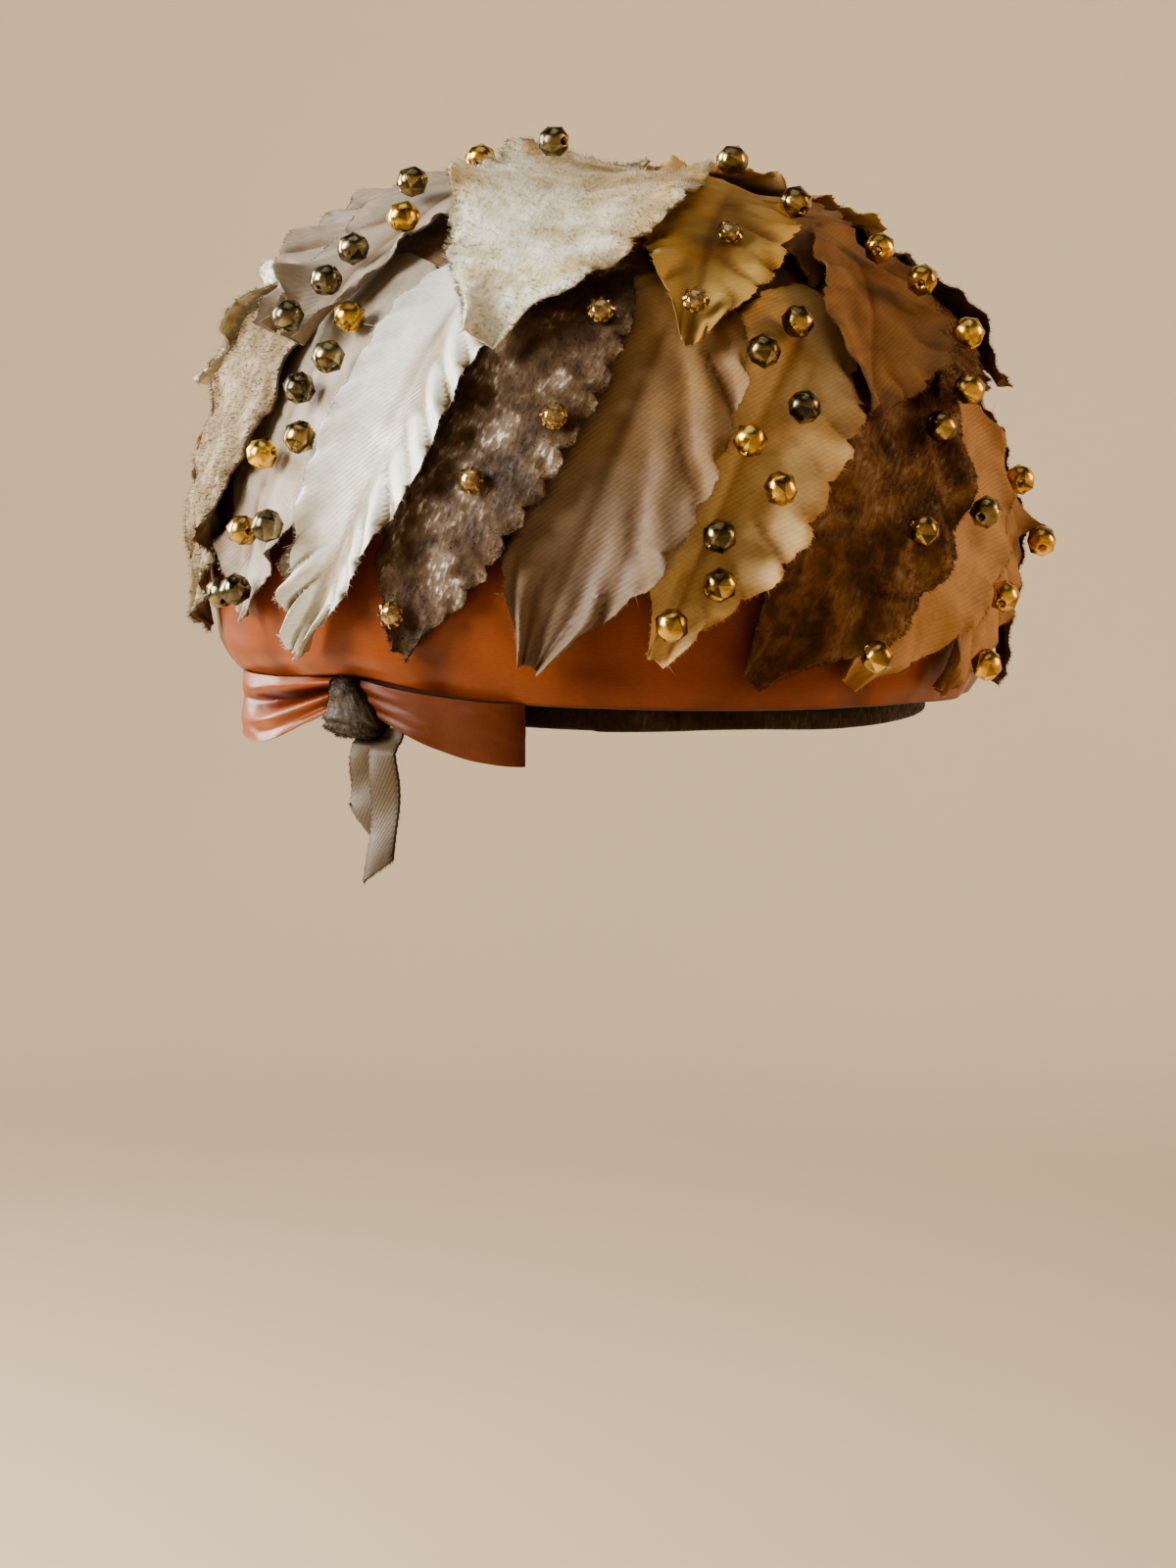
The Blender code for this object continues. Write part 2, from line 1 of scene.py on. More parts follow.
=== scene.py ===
"""Cloth, beads and stones of a domed pillbox hat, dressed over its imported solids.

Lengths are in metres, +Z is up and the front of the hat faces -Y. A direction on the crown is a
turn, in degrees from the front towards +X, and a drop, in degrees down from straight up, both
seen from the middle of the crown at its widest level. On a leaf, v runs from 0 at the root to 1
at the tip and u from -1 to 1 across, +1 at the viewer's right.
"""

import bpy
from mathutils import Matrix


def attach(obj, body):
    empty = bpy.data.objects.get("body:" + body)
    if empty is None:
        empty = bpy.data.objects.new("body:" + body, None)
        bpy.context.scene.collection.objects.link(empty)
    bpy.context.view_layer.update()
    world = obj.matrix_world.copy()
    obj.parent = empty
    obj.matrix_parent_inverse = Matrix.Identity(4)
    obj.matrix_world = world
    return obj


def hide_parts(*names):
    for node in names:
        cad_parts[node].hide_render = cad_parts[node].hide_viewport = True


bl_info = {
    "name": "Leaf Pillbox Hat",
    "version": (1, 0, 0),
    "blender": (4, 5, 0),
    "location": "View3D > Sidebar > Hat",
    "description": "Builds the cloth leaves, band, bow, beads and stones of a domed pillbox hat",
    "category": "Object",
}

from collections import namedtuple

import bpy
import numpy as np
from bpy.props import FloatProperty, FloatVectorProperty, IntProperty, PointerProperty
from mathutils import Matrix

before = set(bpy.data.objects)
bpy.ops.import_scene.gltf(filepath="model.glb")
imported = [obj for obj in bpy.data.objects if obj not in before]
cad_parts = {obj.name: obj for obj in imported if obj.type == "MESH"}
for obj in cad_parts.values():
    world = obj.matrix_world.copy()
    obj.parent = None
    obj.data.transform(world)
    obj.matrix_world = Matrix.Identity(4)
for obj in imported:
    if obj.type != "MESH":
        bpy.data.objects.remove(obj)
SEED = 7

# Along a leaf, root to tip: share of its length, share of its half width
LEAF_OUTLINE = (
    (0.00, 0.42),
    (0.18, 0.84),
    (0.36, 1.00),
    (0.54, 0.98),
    (0.70, 0.82),
    (0.84, 0.54),
    (0.93, 0.25),
    (1.00, 0.10),
)

# Leaves, lowest layer first: cloth, tip turn, tip drop, root turn, root drop (degrees),
# share of the leaf width, sideways bow, curl of the tip
LEAVES = {
    "leaf_low_01": ("brown_satin", 182, 106, 210, 64, 1.10, 0.06, 0.1),
    "leaf_low_02": ("olive_satin", 161, 105, 189, 64, 1.05, 0.06, 0.1),
    "leaf_low_03": ("taupe_velvet", 140, 107, 167, 64, 1.10, 0.06, 0.0),
    "leaf_low_04": ("mauve_satin", 119, 104, 146, 64, 1.10, 0.06, 0.1),
    "leaf_low_05": ("khaki_satin", 98, 106, 125, 66, 1.05, 0.06, 0.1),
    "leaf_low_06": ("russet_velvet", 76, 109, 100, 72, 1.00, 0.06, 0.1),
    "leaf_low_07": ("brown_satin", 49, 108, 78, 72, 0.90, 0.06, 0.1),
    "leaf_low_08": ("brown_satin", 31, 106, 62, 70, 0.95, 0.06, 0.0),
    "leaf_low_09": ("russet_velvet", 17, 105, 50, 64, 1.10, 0.08, 0.0),
    "leaf_low_10": ("khaki_satin", 6, 103, 33, 57, 0.90, -0.10, 0.0),
    "leaf_low_11": ("mauve_satin", -8, 104, 11, 56, 1.04, 0.00, 0.1),
    "leaf_low_12": ("taupe_velvet", -24, 104, -1, 54, 1.02, -0.08, 0.0),
    "leaf_low_13": ("blush_satin", -40, 98, -30, 64, 0.60, 0.00, 0.0),
    "leaf_low_14": ("blush_satin", -53, 102, -33, 53, 1.22, -0.06, 0.0),
    "leaf_low_15": ("ivory_satin", -39, 105, -18, 50, 0.68, 0.22, 0.1),
    "leaf_low_16": ("tan_velvet", -80, 106, -52, 57, 1.24, 0.06, 0.0),
    "leaf_low_17": ("mauve_satin", -108, 105, -85, 64, 1.00, 0.06, 0.1),
    "leaf_low_18": ("olive_satin", -121, 106, -96, 64, 1.05, 0.06, 0.1),
    "leaf_low_19": ("taupe_velvet", -139, 105, -113, 64, 1.10, 0.06, 0.0),
    "leaf_low_20": ("ivory_satin", -157, 106, -129, 64, 1.05, 0.06, 0.1),
    "leaf_high_01": ("brown_satin", 31, 56, 56, 22, 0.92, 0.06, 0.0),
    "leaf_high_02": ("russet_velvet", 47, 72, 80, 48, 0.90, 0.06, 0.1),
    "leaf_high_03": ("brown_satin", 32, 75, 52, 44, 0.90, 0.06, 0.0),
    "leaf_high_04": ("khaki_satin", 142, 76, 172, 34, 1.25, 0.06, 0.1),
    "leaf_high_05": ("taupe_velvet", 110, 75, 146, 34, 1.25, 0.06, 0.1),
    "leaf_high_06": ("russet_velvet", 79, 69, 118, 34, 1.15, 0.06, 0.4),
    "leaf_high_07": ("tan_velvet", -30, 42, -10, 10, 0.85, 0.00, 0.0),
    "leaf_high_08": ("olive_satin", 9, 68, 41, 28, 0.88, -0.08, 0.1),
    "leaf_high_09": ("mauve_satin", 174, 74, -156, 34, 1.25, 0.06, 0.1),
    "leaf_high_10": ("brown_satin", -153, 76, -124, 34, 1.25, 0.06, 0.1),
    "leaf_high_11": ("blush_satin", -120, 75, -94, 34, 1.20, 0.06, 0.1),
    "leaf_high_12": ("ivory_velvet", -84, 73, -72, 34, 0.95, 0.06, 0.3),
    "leaf_high_13": ("blush_satin", -54, 66, -60, 24, 0.90, -0.04, 0.0),
    "leaf_high_14": ("blush_satin", -45, 68, -42, 22, 0.80, 0.04, 0.1),
    "leaf_high_15": ("ivory_velvet", -15, 69, 20, 16, 1.35, -0.04, 0.0),
    "leaf_top_01": ("taupe_velvet", 160, 42, -130, 6, 1.20, 0.04, 0.0),
    "leaf_top_02": ("khaki_satin", 96, 42, 10, 8, 1.10, 0.04, 0.0),
    "leaf_top_03": ("tan_velvet", -118, 44, 60, 4, 1.15, 0.00, 0.0),
}

# How a leaf is cut and pressed: lobes along its left and right edge, depth of the lobes as a share
# of the half width, where the left edge's lobes start, height and slant of the pleats, number and
# height of the broad fan folds, height of the crush, lift of the free edges (metres)
Cut = namedtuple("Cut", "left right depth left_from pleat slant fans fan crush lift")
SATIN_CUT = Cut(9, 9, 0.10, 0.05, 0.0012, 0.16, 3.5, 0.0012, 0.0004, 0.0022)
VELVET_CUT = Cut(11, 11, 0.07, 0.05, 0.0004, 0.12, 2.5, 0.0008, 0.0012, 0.0020)
CUTS = {
    "leaf_low_08": SATIN_CUT._replace(left=5, right=6, depth=0.08, pleat=0.0005, lift=0.0030),
    "leaf_low_09": VELVET_CUT._replace(left=4, right=5, fans=4.5, fan=0.0030, crush=0.0026),
    "leaf_low_10": SATIN_CUT._replace(left=7, right=10, slant=0.10, pleat=0.0013, crush=0.0008),
    "leaf_low_11": SATIN_CUT._replace(left=6, right=9, slant=0.26, fans=4.2, fan=0.0028, pleat=0.0010),
    "leaf_low_12": VELVET_CUT._replace(left=15, right=15, depth=0.09, crush=0.0010, fan=0.0010),
    "leaf_low_14": SATIN_CUT._replace(left=5, right=7, depth=0.08, pleat=0.0010, crush=0.0014),
    "leaf_low_15": Cut(13, 12, 0.12, 0.72, 0.0038, 0.13, 2.0, 0.0010, 0.0007, 0.0020),
    "leaf_low_16": VELVET_CUT._replace(left=5, right=7, crush=0.0014, fans=5.0, fan=0.0024),
    "leaf_high_03": SATIN_CUT._replace(left=7, right=8, pleat=0.0014, fan=0.0014),
    "leaf_high_08": SATIN_CUT._replace(left=8, right=9, depth=0.16, slant=0.18, fan=0.0016),
    "leaf_high_12": VELVET_CUT._replace(left=6, right=6, crush=0.0024, lift=0.0012),
    "leaf_high_13": SATIN_CUT._replace(left=7, right=7, slant=0.20, crush=0.0012, lift=0.0040),
    "leaf_high_14": SATIN_CUT._replace(left=5, right=8, slant=0.20, crush=0.0006, lift=0.0030),
    "leaf_high_15": VELVET_CUT._replace(
        left=8, right=9, depth=0.09, crush=0.0016, fan=0.0032, lift=0.0028
    ),
}

# Second colour of each leaf's cloth: share all over, more to the right, to the tip, to the edges
TONES = {
    "leaf_low_08": (0.00, 0.00, 0.00, 0.20),
    "leaf_low_09": (0.25, 0.10, 0.10, 0.30),
    "leaf_low_10": (0.05, 0.20, -0.15, 0.40),
    "leaf_low_11": (0.90, -0.15, -0.95, 0.00),
    "leaf_low_12": (0.10, 0.00, -0.20, 0.35),
    "leaf_low_15": (0.00, 0.00, 0.00, 0.00),
    "leaf_high_01": (0.70, 0.00, 0.00, 0.30),
    "leaf_high_03": (0.70, 0.00, 0.00, 0.30),
    "leaf_high_08": (0.00, 0.75, -0.20, 0.40),
    "leaf_high_12": (-0.90, 0.00, 1.02, 0.00),
    # Golden second colour towards the right: partly the cloth's own colour, partly painted warm light
    # from the right
    "leaf_high_15": (0.15, 1.00, -0.95, 0.10),
}
PLAIN_TONE = (0.25, 0.0, 0.0, 0.3)

# Satin band's outside from top to lower edge: share of its height, share of its puff
BAND_FOLDS = (
    (1.00, 0.00),
    (0.72, 0.10),
    (0.46, 0.25),
    (0.24, 0.50),
    (0.08, 0.95),
    (0.00, 0.90),
)

# One wing of the bow, out along its front and back along its rear:
# share of its length, share of its depth, share of its height
WING_LOOP = (
    (0.00, 0.60, 0.55),
    (0.16, 0.80, 0.66),
    (0.42, 1.00, 0.86),
    (0.70, 1.00, 0.97),
    (0.92, 0.86, 1.00),
    (1.00, 0.60, 1.00),
    (0.94, 0.30, 1.00),
    (0.70, 0.10, 0.95),
    (0.42, 0.04, 0.84),
    (0.16, 0.14, 0.64),
    (0.00, 0.34, 0.55),
)

# Tails: share of the length, sideways and outward in ribbon widths
TAIL_HANGS = {
    "tail_front": ((0.0, 1.00, 0.70), (0.3, 1.11, 0.66), (0.7, 1.14, 0.70), (1.0, 1.09, 0.80)),
    "tail_back": ((0.0, 0.02, 0.30), (0.3, -0.06, 0.26), (0.7, -0.08, 0.24), (1.0, 0.00, 0.26)),
}

# Rise of each cut end from left to right in ribbon widths
TAIL_SLANTS = {"tail_front": 0.7, "tail_back": -0.9}

# Beads of each row: turn, drop, and how gold it is, from gunmetal at 0 to gold at 1
BEAD_ROWS = {
    "beads_low_left": (
        (-36, 65, 1.0), (-43, 66.5, 0.1), (-35, 71, 0.2), (-41, 74, 0.1), (-38, 80, 0.35),
        (-45.5, 82, 0.9), (-39, 90, 0.15), (-47, 91, 0.5), (-49, 98, 0.15), (-58, 99.5, 0.1),
    ),
    "beads_high_left": (
        (-18, 28.5, 0.2), (-41, 30, 1.0), (-34, 51, 1.0), (-46, 40, 0.3), (-43, 54.5, 0.15),
        (-41, 61, 0.1),
    ),
    "beads_front": (
        (24, 64, 0.4), (17, 69.5, 0.3), (22, 75, 0.15), (15, 79, 0.8), (18, 84, 0.6),
        (12, 89, 0.2), (12, 94, 0.5), (7, 98, 0.6),
    ),
    "beads_top_right": ((26, 35, 0.3), (31, 46, 0.4)),
    "beads_high_right": (
        (50, 50, 0.8), (50, 57, 0.7), (52, 65, 0.8), (48, 72, 0.7), (44, 76, 0.4),
    ),
    "beads_low_right": ((49, 86, 0.3), (38, 88, 0.4), (30, 101, 0.6)),
    "beads_right_side": ((72, 82, 0.8), (75, 90, 0.8), (61, 96.5, 0.7), (54, 104, 0.8)),
}
STONES = ((-1.5, 64), (-6, 77), (-15, 84), (-24, 99), (19, 49), (10, 63))

# A bead from end to end: share of its half length, share of its radius
BEAD_PROFILE = (
    (-0.84, 0.20),
    (-0.94, 0.36),
    (-0.44, 0.93),
    (0.44, 0.93),
    (0.94, 0.36),
    (0.84, 0.20),
)

# First and second colour of each cloth or metal, linear red, green and blue
COLOURS = {
    "crown_cloth": ((0.21, 0.13, 0.08), (0.13, 0.075, 0.04)),
    # Copper satin's second colour is painted shade, on the band's wrinkles and underside and on the
    # right wing
    "copper_satin": ((0.25, 0.062, 0.016), (0.11, 0.024, 0.005)),
    "olive_velvet": ((0.045, 0.026, 0.010), (0.020, 0.011, 0.004)),
    "ribbon_velvet": ((0.105, 0.074, 0.042), (0.040, 0.022, 0.011)),
    "tan_velvet": ((0.28, 0.212, 0.118), (0.20, 0.130, 0.060)),
    "ivory_velvet": ((0.92, 0.90, 0.74), (0.43, 0.26, 0.085)),
    "taupe_velvet": ((0.128, 0.077, 0.043), (0.230, 0.140, 0.056)),
    "russet_velvet": ((0.098, 0.038, 0.012), (0.290, 0.150, 0.040)),
    "ivory_satin": ((0.88, 0.88, 0.82), (0.52, 0.44, 0.33)),
    "blush_satin": ((0.41, 0.355, 0.290), (0.33, 0.25, 0.170)),
    "mauve_satin": ((0.225, 0.160, 0.112), (0.33, 0.200, 0.080)),
    "olive_satin": ((0.50, 0.355, 0.130), (0.38, 0.190, 0.040)),
    "khaki_satin": ((0.62, 0.455, 0.230), (0.60, 0.300, 0.095)),
    "brown_satin": ((0.50, 0.285, 0.135), (0.22, 0.115, 0.048)),
    "bead_metal": ((0.210, 0.180, 0.110), (0.82, 0.50, 0.13)),
    # Topaz: bright and dark colours of its facets, painted reflections
    "topaz_stone": ((0.95, 0.72, 0.34), (0.16, 0.07, 0.014)),
}

# Crushed velvets: colour of the flat pile against the upright, share of the pale upright pile
# with its painted sheen, share of the painted glints on the streaks, weight of the sheen
VELVETS = {
    "crown_cloth": ((0.75, 0.72, 0.68), 0.05, 0.05, 0.05),
    "olive_velvet": ((0.72, 0.68, 0.62), 0.02, 0.04, 0.03),
    "tan_velvet": ((0.66, 0.60, 0.50), 0.20, 0.30, 0.25),
    "ivory_velvet": ((0.70, 0.61, 0.46), 0.50, 0.95, 0.35),
    "taupe_velvet": ((0.38, 0.33, 0.28), 0.24, 0.90, 0.10),
    "russet_velvet": ((0.34, 0.27, 0.22), 0.08, 0.08, 0.05),
}

# Satins: roughness at its lowest and highest, specular level, weight of the sheen, how much the
# twill shows, colour of the painted shade in the valleys
SATINS = {
    "copper_satin": (0.28, 0.38, 0.50, 0.05, 0.0, (0.50, 0.36, 0.28)),
    "ivory_satin": (0.30, 0.44, 0.90, 0.10, 0.5, (0.50, 0.42, 0.32)),
}
PLAIN_SATIN = (0.42, 0.58, 0.40, 0.08, 0.7, (0.60, 0.50, 0.42))

# Colours of the standing pile with its painted sheen, the painted glints on its tips, the sheens
# and the unevenness of the backdrop
PALE_PILE_AND_SHEEN = (0.90, 0.82, 0.70, 1)
PAINTED_GLINT_PILE = (0.94, 0.89, 0.80, 1)
VELVET_SHEEN = (1, 0.9, 0.78, 1)
SATIN_SHEEN = (1, 0.85, 0.75, 1)
WORN_PAINT = (0.4, 0.36, 0.32, 1)

# Kinds of texture node
NOISE = "ShaderNodeTexNoise"
WAVE = "ShaderNodeTexWave"

# Cloth map of the crown and the knot: metres round and up for each square
CROWN_STEP = (0.007, 0.005)
KNOT_STEP = (0.0007, 0.0005)

# Lobes of a leaf: where those of its right edge start, root to tip, and the share of the length
# over which those of both edges grow
LOBES_FROM = 0.05
LOBES_GROW = 0.12

# Satin band: how far the gathers reach from the knot, and degrees of turn for each radian of
# their wave; how far the lower edge sags at the right, in metres, and the turns where that
# begins, is full, fades and ends
GATHER_REACH = 26
GATHER_PITCH = 4.5
BAND_SAG = 0.0011
BAND_SAG_TURNS = (50, 66, 84, 110)

# Wings: how far they rise beside the knot, how far the left one's lower edge dips in its middle
# and how far the right one's leans in (metres), and the share of its height the loop loses at
# its back
WING_RISE = 0.0024
WING_DIP = 0.0026
WING_LEAN = 0.004
WING_BACK = 0.10

# Height of the folds beside the knot on the left and right wing, and the left wing's ridge and
# dent: rise, place and spread along the wing, place and spread across it
WING_FOLDS = {-1: 0.0010, 1: 0.0003}
WING_DENTS = ((0.0016, 0.35, 0.30, -0.38, 0.20), (-0.0052, 0.32, 0.34, 0.22, 0.20))

# Knot: height of its folds and of its crush, length of its pile (metres)
KNOT_FOLD = 0.0016
KNOT_CRUSH = 0.0005
KNOT_PILE = 0.0008

# Ribbon: spacing of the nicks and of the stitches along its edges, length of its fringe (metres)
RIBBON_NICKS = 0.0009
RIBBON_STITCHES = 0.0014
RIBBON_FRINGE = 0.0011

# Hairs: number on a satin leaf's edge, a velvet leaf, the knot and a ribbon end, and half the
# width of each hair at its foot (metres)
FRAY_COUNT = 700
PILE_COUNT = 3600
KNOT_PILE_COUNT = 2600
FRINGE_COUNT = 700
FRAY_HAIR = 0.00009
PILE_HAIR = 0.00010
FINE_HAIR = 0.00006

# Cloths with a longer pile, and how many times longer it is than that of the others
SHAGGY_CLOTHS = ("tan_velvet", "ivory_velvet")
SHAG = 1.5

# A cut stone from its back to its table: share of its height, share of its radius
STONE_PROFILE = ((0.15, 0.30), (0.62, 0.86), (0.72, 0.84), (1.0, 0.50), (1.02, 0.10))
STONE_SIDES = 8

# Cup and claws from the foot up: radius and height between the claws, radius and height on them
CLAW_PROFILE = (
    (0.55, 0.0, 0.55, 0.0),
    (0.95, 0.35, 0.95, 0.35),
    (0.90, 0.45, 0.98, 0.72),
    (0.86, 0.50, 0.74, 0.95),
)

# Lights: place, point looked at, size, tint
LIGHTS = {
    "key": ((-1.25, -0.58, 0.52), (0, 0, 0.05), (0.6, 0.8), (0.98, 1.0, 0.975)),
    "warm": ((1.15, -0.05, 0.40), (0, 0, 0.05), (0.4, 0.6), (1.0, 0.66, 0.38)),
    "side": ((-1.15, 0.50, 0.28), (0, 0, 0.05), (0.5, 0.8), (1.0, 0.98, 0.95)),
    "top": ((-0.1, -0.2, 1.3), (0, 0, 0.05), (1.0, 1.0), (1.0, 0.98, 0.95)),
    "back": ((-0.3, 0.6, 1.3), (0, 2.3, 0.5), (1.6, 1.0), (1.0, 0.97, 0.93)),
}
WORLD_TINT = (1.0, 0.97, 0.93, 1)

# Camera: place, pitch and roll in degrees, focal length and sensor width in millimetres
CAMERA_PLACE = (-0.002, -0.80, 0.077)
CAMERA_PITCH = -7.31
CAMERA_ROLL = 2.0
CAMERA_LENS = 67.86
CAMERA_SENSOR = 36


def metres(name, default, description):
    """A length of the settings."""
    return FloatProperty(
        name=name, description=description, default=default, unit="LENGTH", precision=5
    )


def share(name, default, description):
    """A plain number of the settings."""
    return FloatProperty(name=name, description=description, default=default, precision=3)


def colour(name, default, description):
    """A colour of the settings."""
    return FloatVectorProperty(
        name=name, description=description, default=default, subtype="COLOR", min=0, max=1
    )


def watts(name, default, description):
    """A light's power of the settings."""
    return FloatProperty(name=name, description=description, default=default, unit="POWER")


class HatCrownSettings(bpy.types.PropertyGroup):
    """Sizes of the crown and of the headband under it."""

    headband_half_width: metres("Headband half width", 0.088, "Half the headband's breadth")
    headband_half_length: metres("Headband half length", 0.100, "Half the headband's length")
    headband_height: metres("Headband height", 0.024, "Height of the velvet strip")
    headband_wall: metres("Headband thickness", 0.002, "Thickness of the velvet strip")
    overhang: metres("Overhang", 0.016, "How far the crown stands out past the headband")
    middle: metres("Widest level", 0.046, "Height of the crown's widest level")
    rise: metres("Rise", 0.090, "Height of the crown over its widest level")
    tuck: metres("Tuck", 0.076, "How fast the crown narrows under its widest level")
    fullness: share("Fullness", 2.3, "2 is an ellipse, more is squarer")
    wall: metres("Crown thickness", 0.002, "Thickness of the moulded crown")
    ripple: metres("Ripple", 0.0004, "Height of the ripples in the velvet strip")
    sag: metres("Sag", 0.0006, "How unevenly the velvet strip's lower edge hangs")


class HatBandSettings(bpy.types.PropertyGroup):
    """Sizes of the satin band."""

    top: metres("Top", 0.052, "Height of the band's upper edge")
    edge: metres("Lower edge", 0.007, "Height of the band's folded lower edge")
    wall: metres("Thickness", 0.0015, "Thickness of the padded satin")
    puff: metres("Puff", 0.0043, "How far the lower edge stands out")
    arch: metres("Arch", 0.0035, "How far the edge rises over the knot")
    arch_spread: share("Arch spread", 13.0, "Half width of the arch in degrees of turn")
    gap: metres("Gap", 0.0004, "Clearance between pieces")
    wrinkle: metres("Wrinkles", 0.0007, "Height of the soft wrinkles")


class HatBowSettings(bpy.types.PropertyGroup):
    """Sizes of the bow, its knot and its tails."""

    turn: share("Turn", -37.0, "Where the bow sits, in degrees from the front")
    length_left: metres("Left wing", 0.0540, "Length of the left wing")
    length_right: metres("Right wing", 0.0468, "Length of the right wing")
    height: metres("Wing height", 0.0152, "Height of the wings at their ends")
    depth: metres("Wing depth", 0.0095, "Depth of the loops")
    stand_off: metres("Stand-off", 0.0035, "Gap between bow and headband")
    wall: metres("Satin thickness", 0.0009, "Thickness of the doubled satin")
    knot_width: metres("Knot width", 0.0182, "Width of the knot")
    knot_depth: metres("Knot depth", 0.010, "Depth of the knot")
    knot_height: metres("Knot height", 0.0146, "Height of the knot")
    knot_fullness: share("Knot fullness", 3.6, "2 is an ellipse, more is squarer")
    knot_tuck: share("Knot tuck", 0.8, "Share of the band's arch that the knot fills")
    tail_width: metres("Ribbon width", 0.009, "Width of the velvet ribbon")
    tail_wall: metres("Ribbon thickness", 0.0008, "Thickness of the velvet ribbon")
    tail_front: metres("Front tail", 0.031, "Length of the front tail")
    tail_back: metres("Back tail", 0.021, "Length of the back tail")


class HatLeafSettings(bpy.types.PropertyGroup):
    """Sizes that all leaves share."""

    width: metres("Leaf width", 0.040, "Width of a leaf whose share is 1")
    satin: metres("Satin thickness", 0.0006, "Thickness of the satin leaves")
    velvet: metres("Velvet thickness", 0.0011, "Thickness of the velvet leaves")
    gap: metres("Gap", 0.0003, "Clearance between one leaf and the next")
    curl: metres("Tip curl", 0.010, "Lift of a fully curled tip")
    pile: metres("Pile", 0.0014, "Length of the velvet's pile")
    fray: metres("Fray", 0.0013, "Length of the loose threads at a satin edge")
    stations: IntProperty(name="Stations", description="Grid rows along a leaf", default=121)
    across: IntProperty(name="Columns", description="Grid columns across a leaf", default=29)


class HatBeadSettings(bpy.types.PropertyGroup):
    """Sizes of the beads and stones."""

    bead: metres("Bead", 0.008, "Diameter of a bead")
    sides: IntProperty(name="Facets", description="Facets round a bead", default=7)
    stone: metres("Stone", 0.0066, "Diameter of a claw-set stone")
    stone_height: metres("Stone height", 0.0030, "Height of a stone in its setting")
    claws: IntProperty(name="Claws", description="Claws round a stone", default=8)


class HatStageSettings(bpy.types.PropertyGroup):
    """Floor, lights and backdrop colour."""

    floor: metres("Floor", -0.50, "Height of the floor")
    radius: metres("Stage radius", 2.4, "Radius of the bowl-shaped stage")
    key: watts("Key light", 31, "Cool light from the left")
    warm: watts("Warm light", 6, "Gold light from the right")
    side: watts("Side light", 19, "Light from the left, behind")
    top: watts("Top light", 2, "Soft light from above")
    back: watts("Back light", 15, "Light on the stage behind")
    world: share("World", 0.06, "Strength of the light from all round")
    backdrop: colour("Backdrop", (0.68, 0.565, 0.405), "Colour of the stage")


def direction(turn, drop):
    """Unit vector of a turn and a drop in degrees."""
    turn = np.radians(turn)
    drop = np.radians(drop)
    level = np.sin(drop)
    return np.stack((level * np.sin(turn), -level * np.cos(turn), np.cos(drop)), axis=-1)


def unit(vectors):
    """Vectors scaled to length 1."""
    return vectors / np.maximum(np.linalg.norm(vectors, axis=-1, keepdims=True), 1e-12)


def eased(value, low, high):
    """0 below low, 1 above high, and 3t^2 - 2t^3 in between."""
    place = np.clip((value - low) / (high - low), 0, 1)
    return place * place * (3 - 2 * place)


def table_curve(at, rows, column):
    """Smooth curve through a table: cubic spans whose slopes are harmonic means of the chords'."""
    places = np.array([row[0] for row in rows], float)
    values = np.array([row[column] for row in rows], float)
    return curve_through(at, places, values)


def curve_through(at, places, values):
    """Monotone cubic through values at rising places, evaluated at the given places."""
    steps = np.diff(places)
    chords = np.diff(values) / steps
    product = chords[:-1] * chords[1:]
    total = chords[:-1] + chords[1:]
    inner = np.where(product > 0, 2 * product / np.where(product > 0, total, 1), 0)
    slopes = np.concatenate((chords[:1], inner, chords[-1:]))
    span = np.clip(np.searchsorted(places, at, side="right") - 1, 0, len(places) - 2)
    width = steps[span]
    part = (at - places[span]) / width
    start = values[span] * (1 + 2 * part) * (1 - part) ** 2
    start = start + values[span + 1] * part**2 * (3 - 2 * part)
    bend = slopes[span] * part * (1 - part) ** 2 - slopes[span + 1] * part**2 * (1 - part)
    return start + width * bend


def noise(seed, across, along):
    """Smooth noise from -1 to 1: seeded heights on a square lattice, blended by eased shares."""
    heights = np.random.default_rng(SEED + seed).uniform(-1, 1, (64, 64))
    column = np.floor(across).astype(int)
    row = np.floor(along).astype(int)
    right = eased(across - column, 0, 1)
    down = eased(along - row, 0, 1)
    near = heights[row % 64, column % 64] * (1 - right) + heights[row % 64, (column + 1) % 64] * right
    far = heights[(row + 1) % 64, column % 64] * (1 - right)
    far = far + heights[(row + 1) % 64, (column + 1) % 64] * right
    return near * (1 - down) + far * down


def layered_noise(seed, across, along, octaves=3):
    """Noise summed over octaves, each twice as fine and half as high as the one before."""
    total = 0
    for octave in range(octaves):
        total = total + noise(seed + octave, across * 2**octave, along * 2**octave) / 2**octave
    return total / (2 - 0.5 ** (octaves - 1))


def blurred(grid, rounds):
    """A grid averaged with its four neighbours a number of times."""
    for _ in range(rounds):
        padded = np.pad(grid, 1, mode="edge")
        grid = (padded[:-2, 1:-1] + padded[2:, 1:-1] + padded[1:-1, :-2] + padded[1:-1, 2:]) / 4
    return grid


def widest(grid, reach):
    """Each cell's highest neighbour within a square reach."""
    padded = np.pad(grid, reach, mode="edge")
    windows = np.lib.stride_tricks.sliding_window_view(padded, (2 * reach + 1, 2 * reach + 1))
    return windows.max(axis=(2, 3))


def resampled(grid, steps):
    """A grid of numbers or points with straight lines between its rows and columns."""
    for axis in (0, 1):
        grid = np.moveaxis(grid, axis, 0)
        place = np.linspace(0, len(grid) - 1, (len(grid) - 1) * steps + 1)
        lower = np.minimum(place.astype(int), len(grid) - 2)
        part = (place - lower).reshape((-1,) + (1,) * (grid.ndim - 1))
        grid = np.moveaxis(grid[lower] * (1 - part) + grid[lower + 1] * part, 0, axis)
    return grid


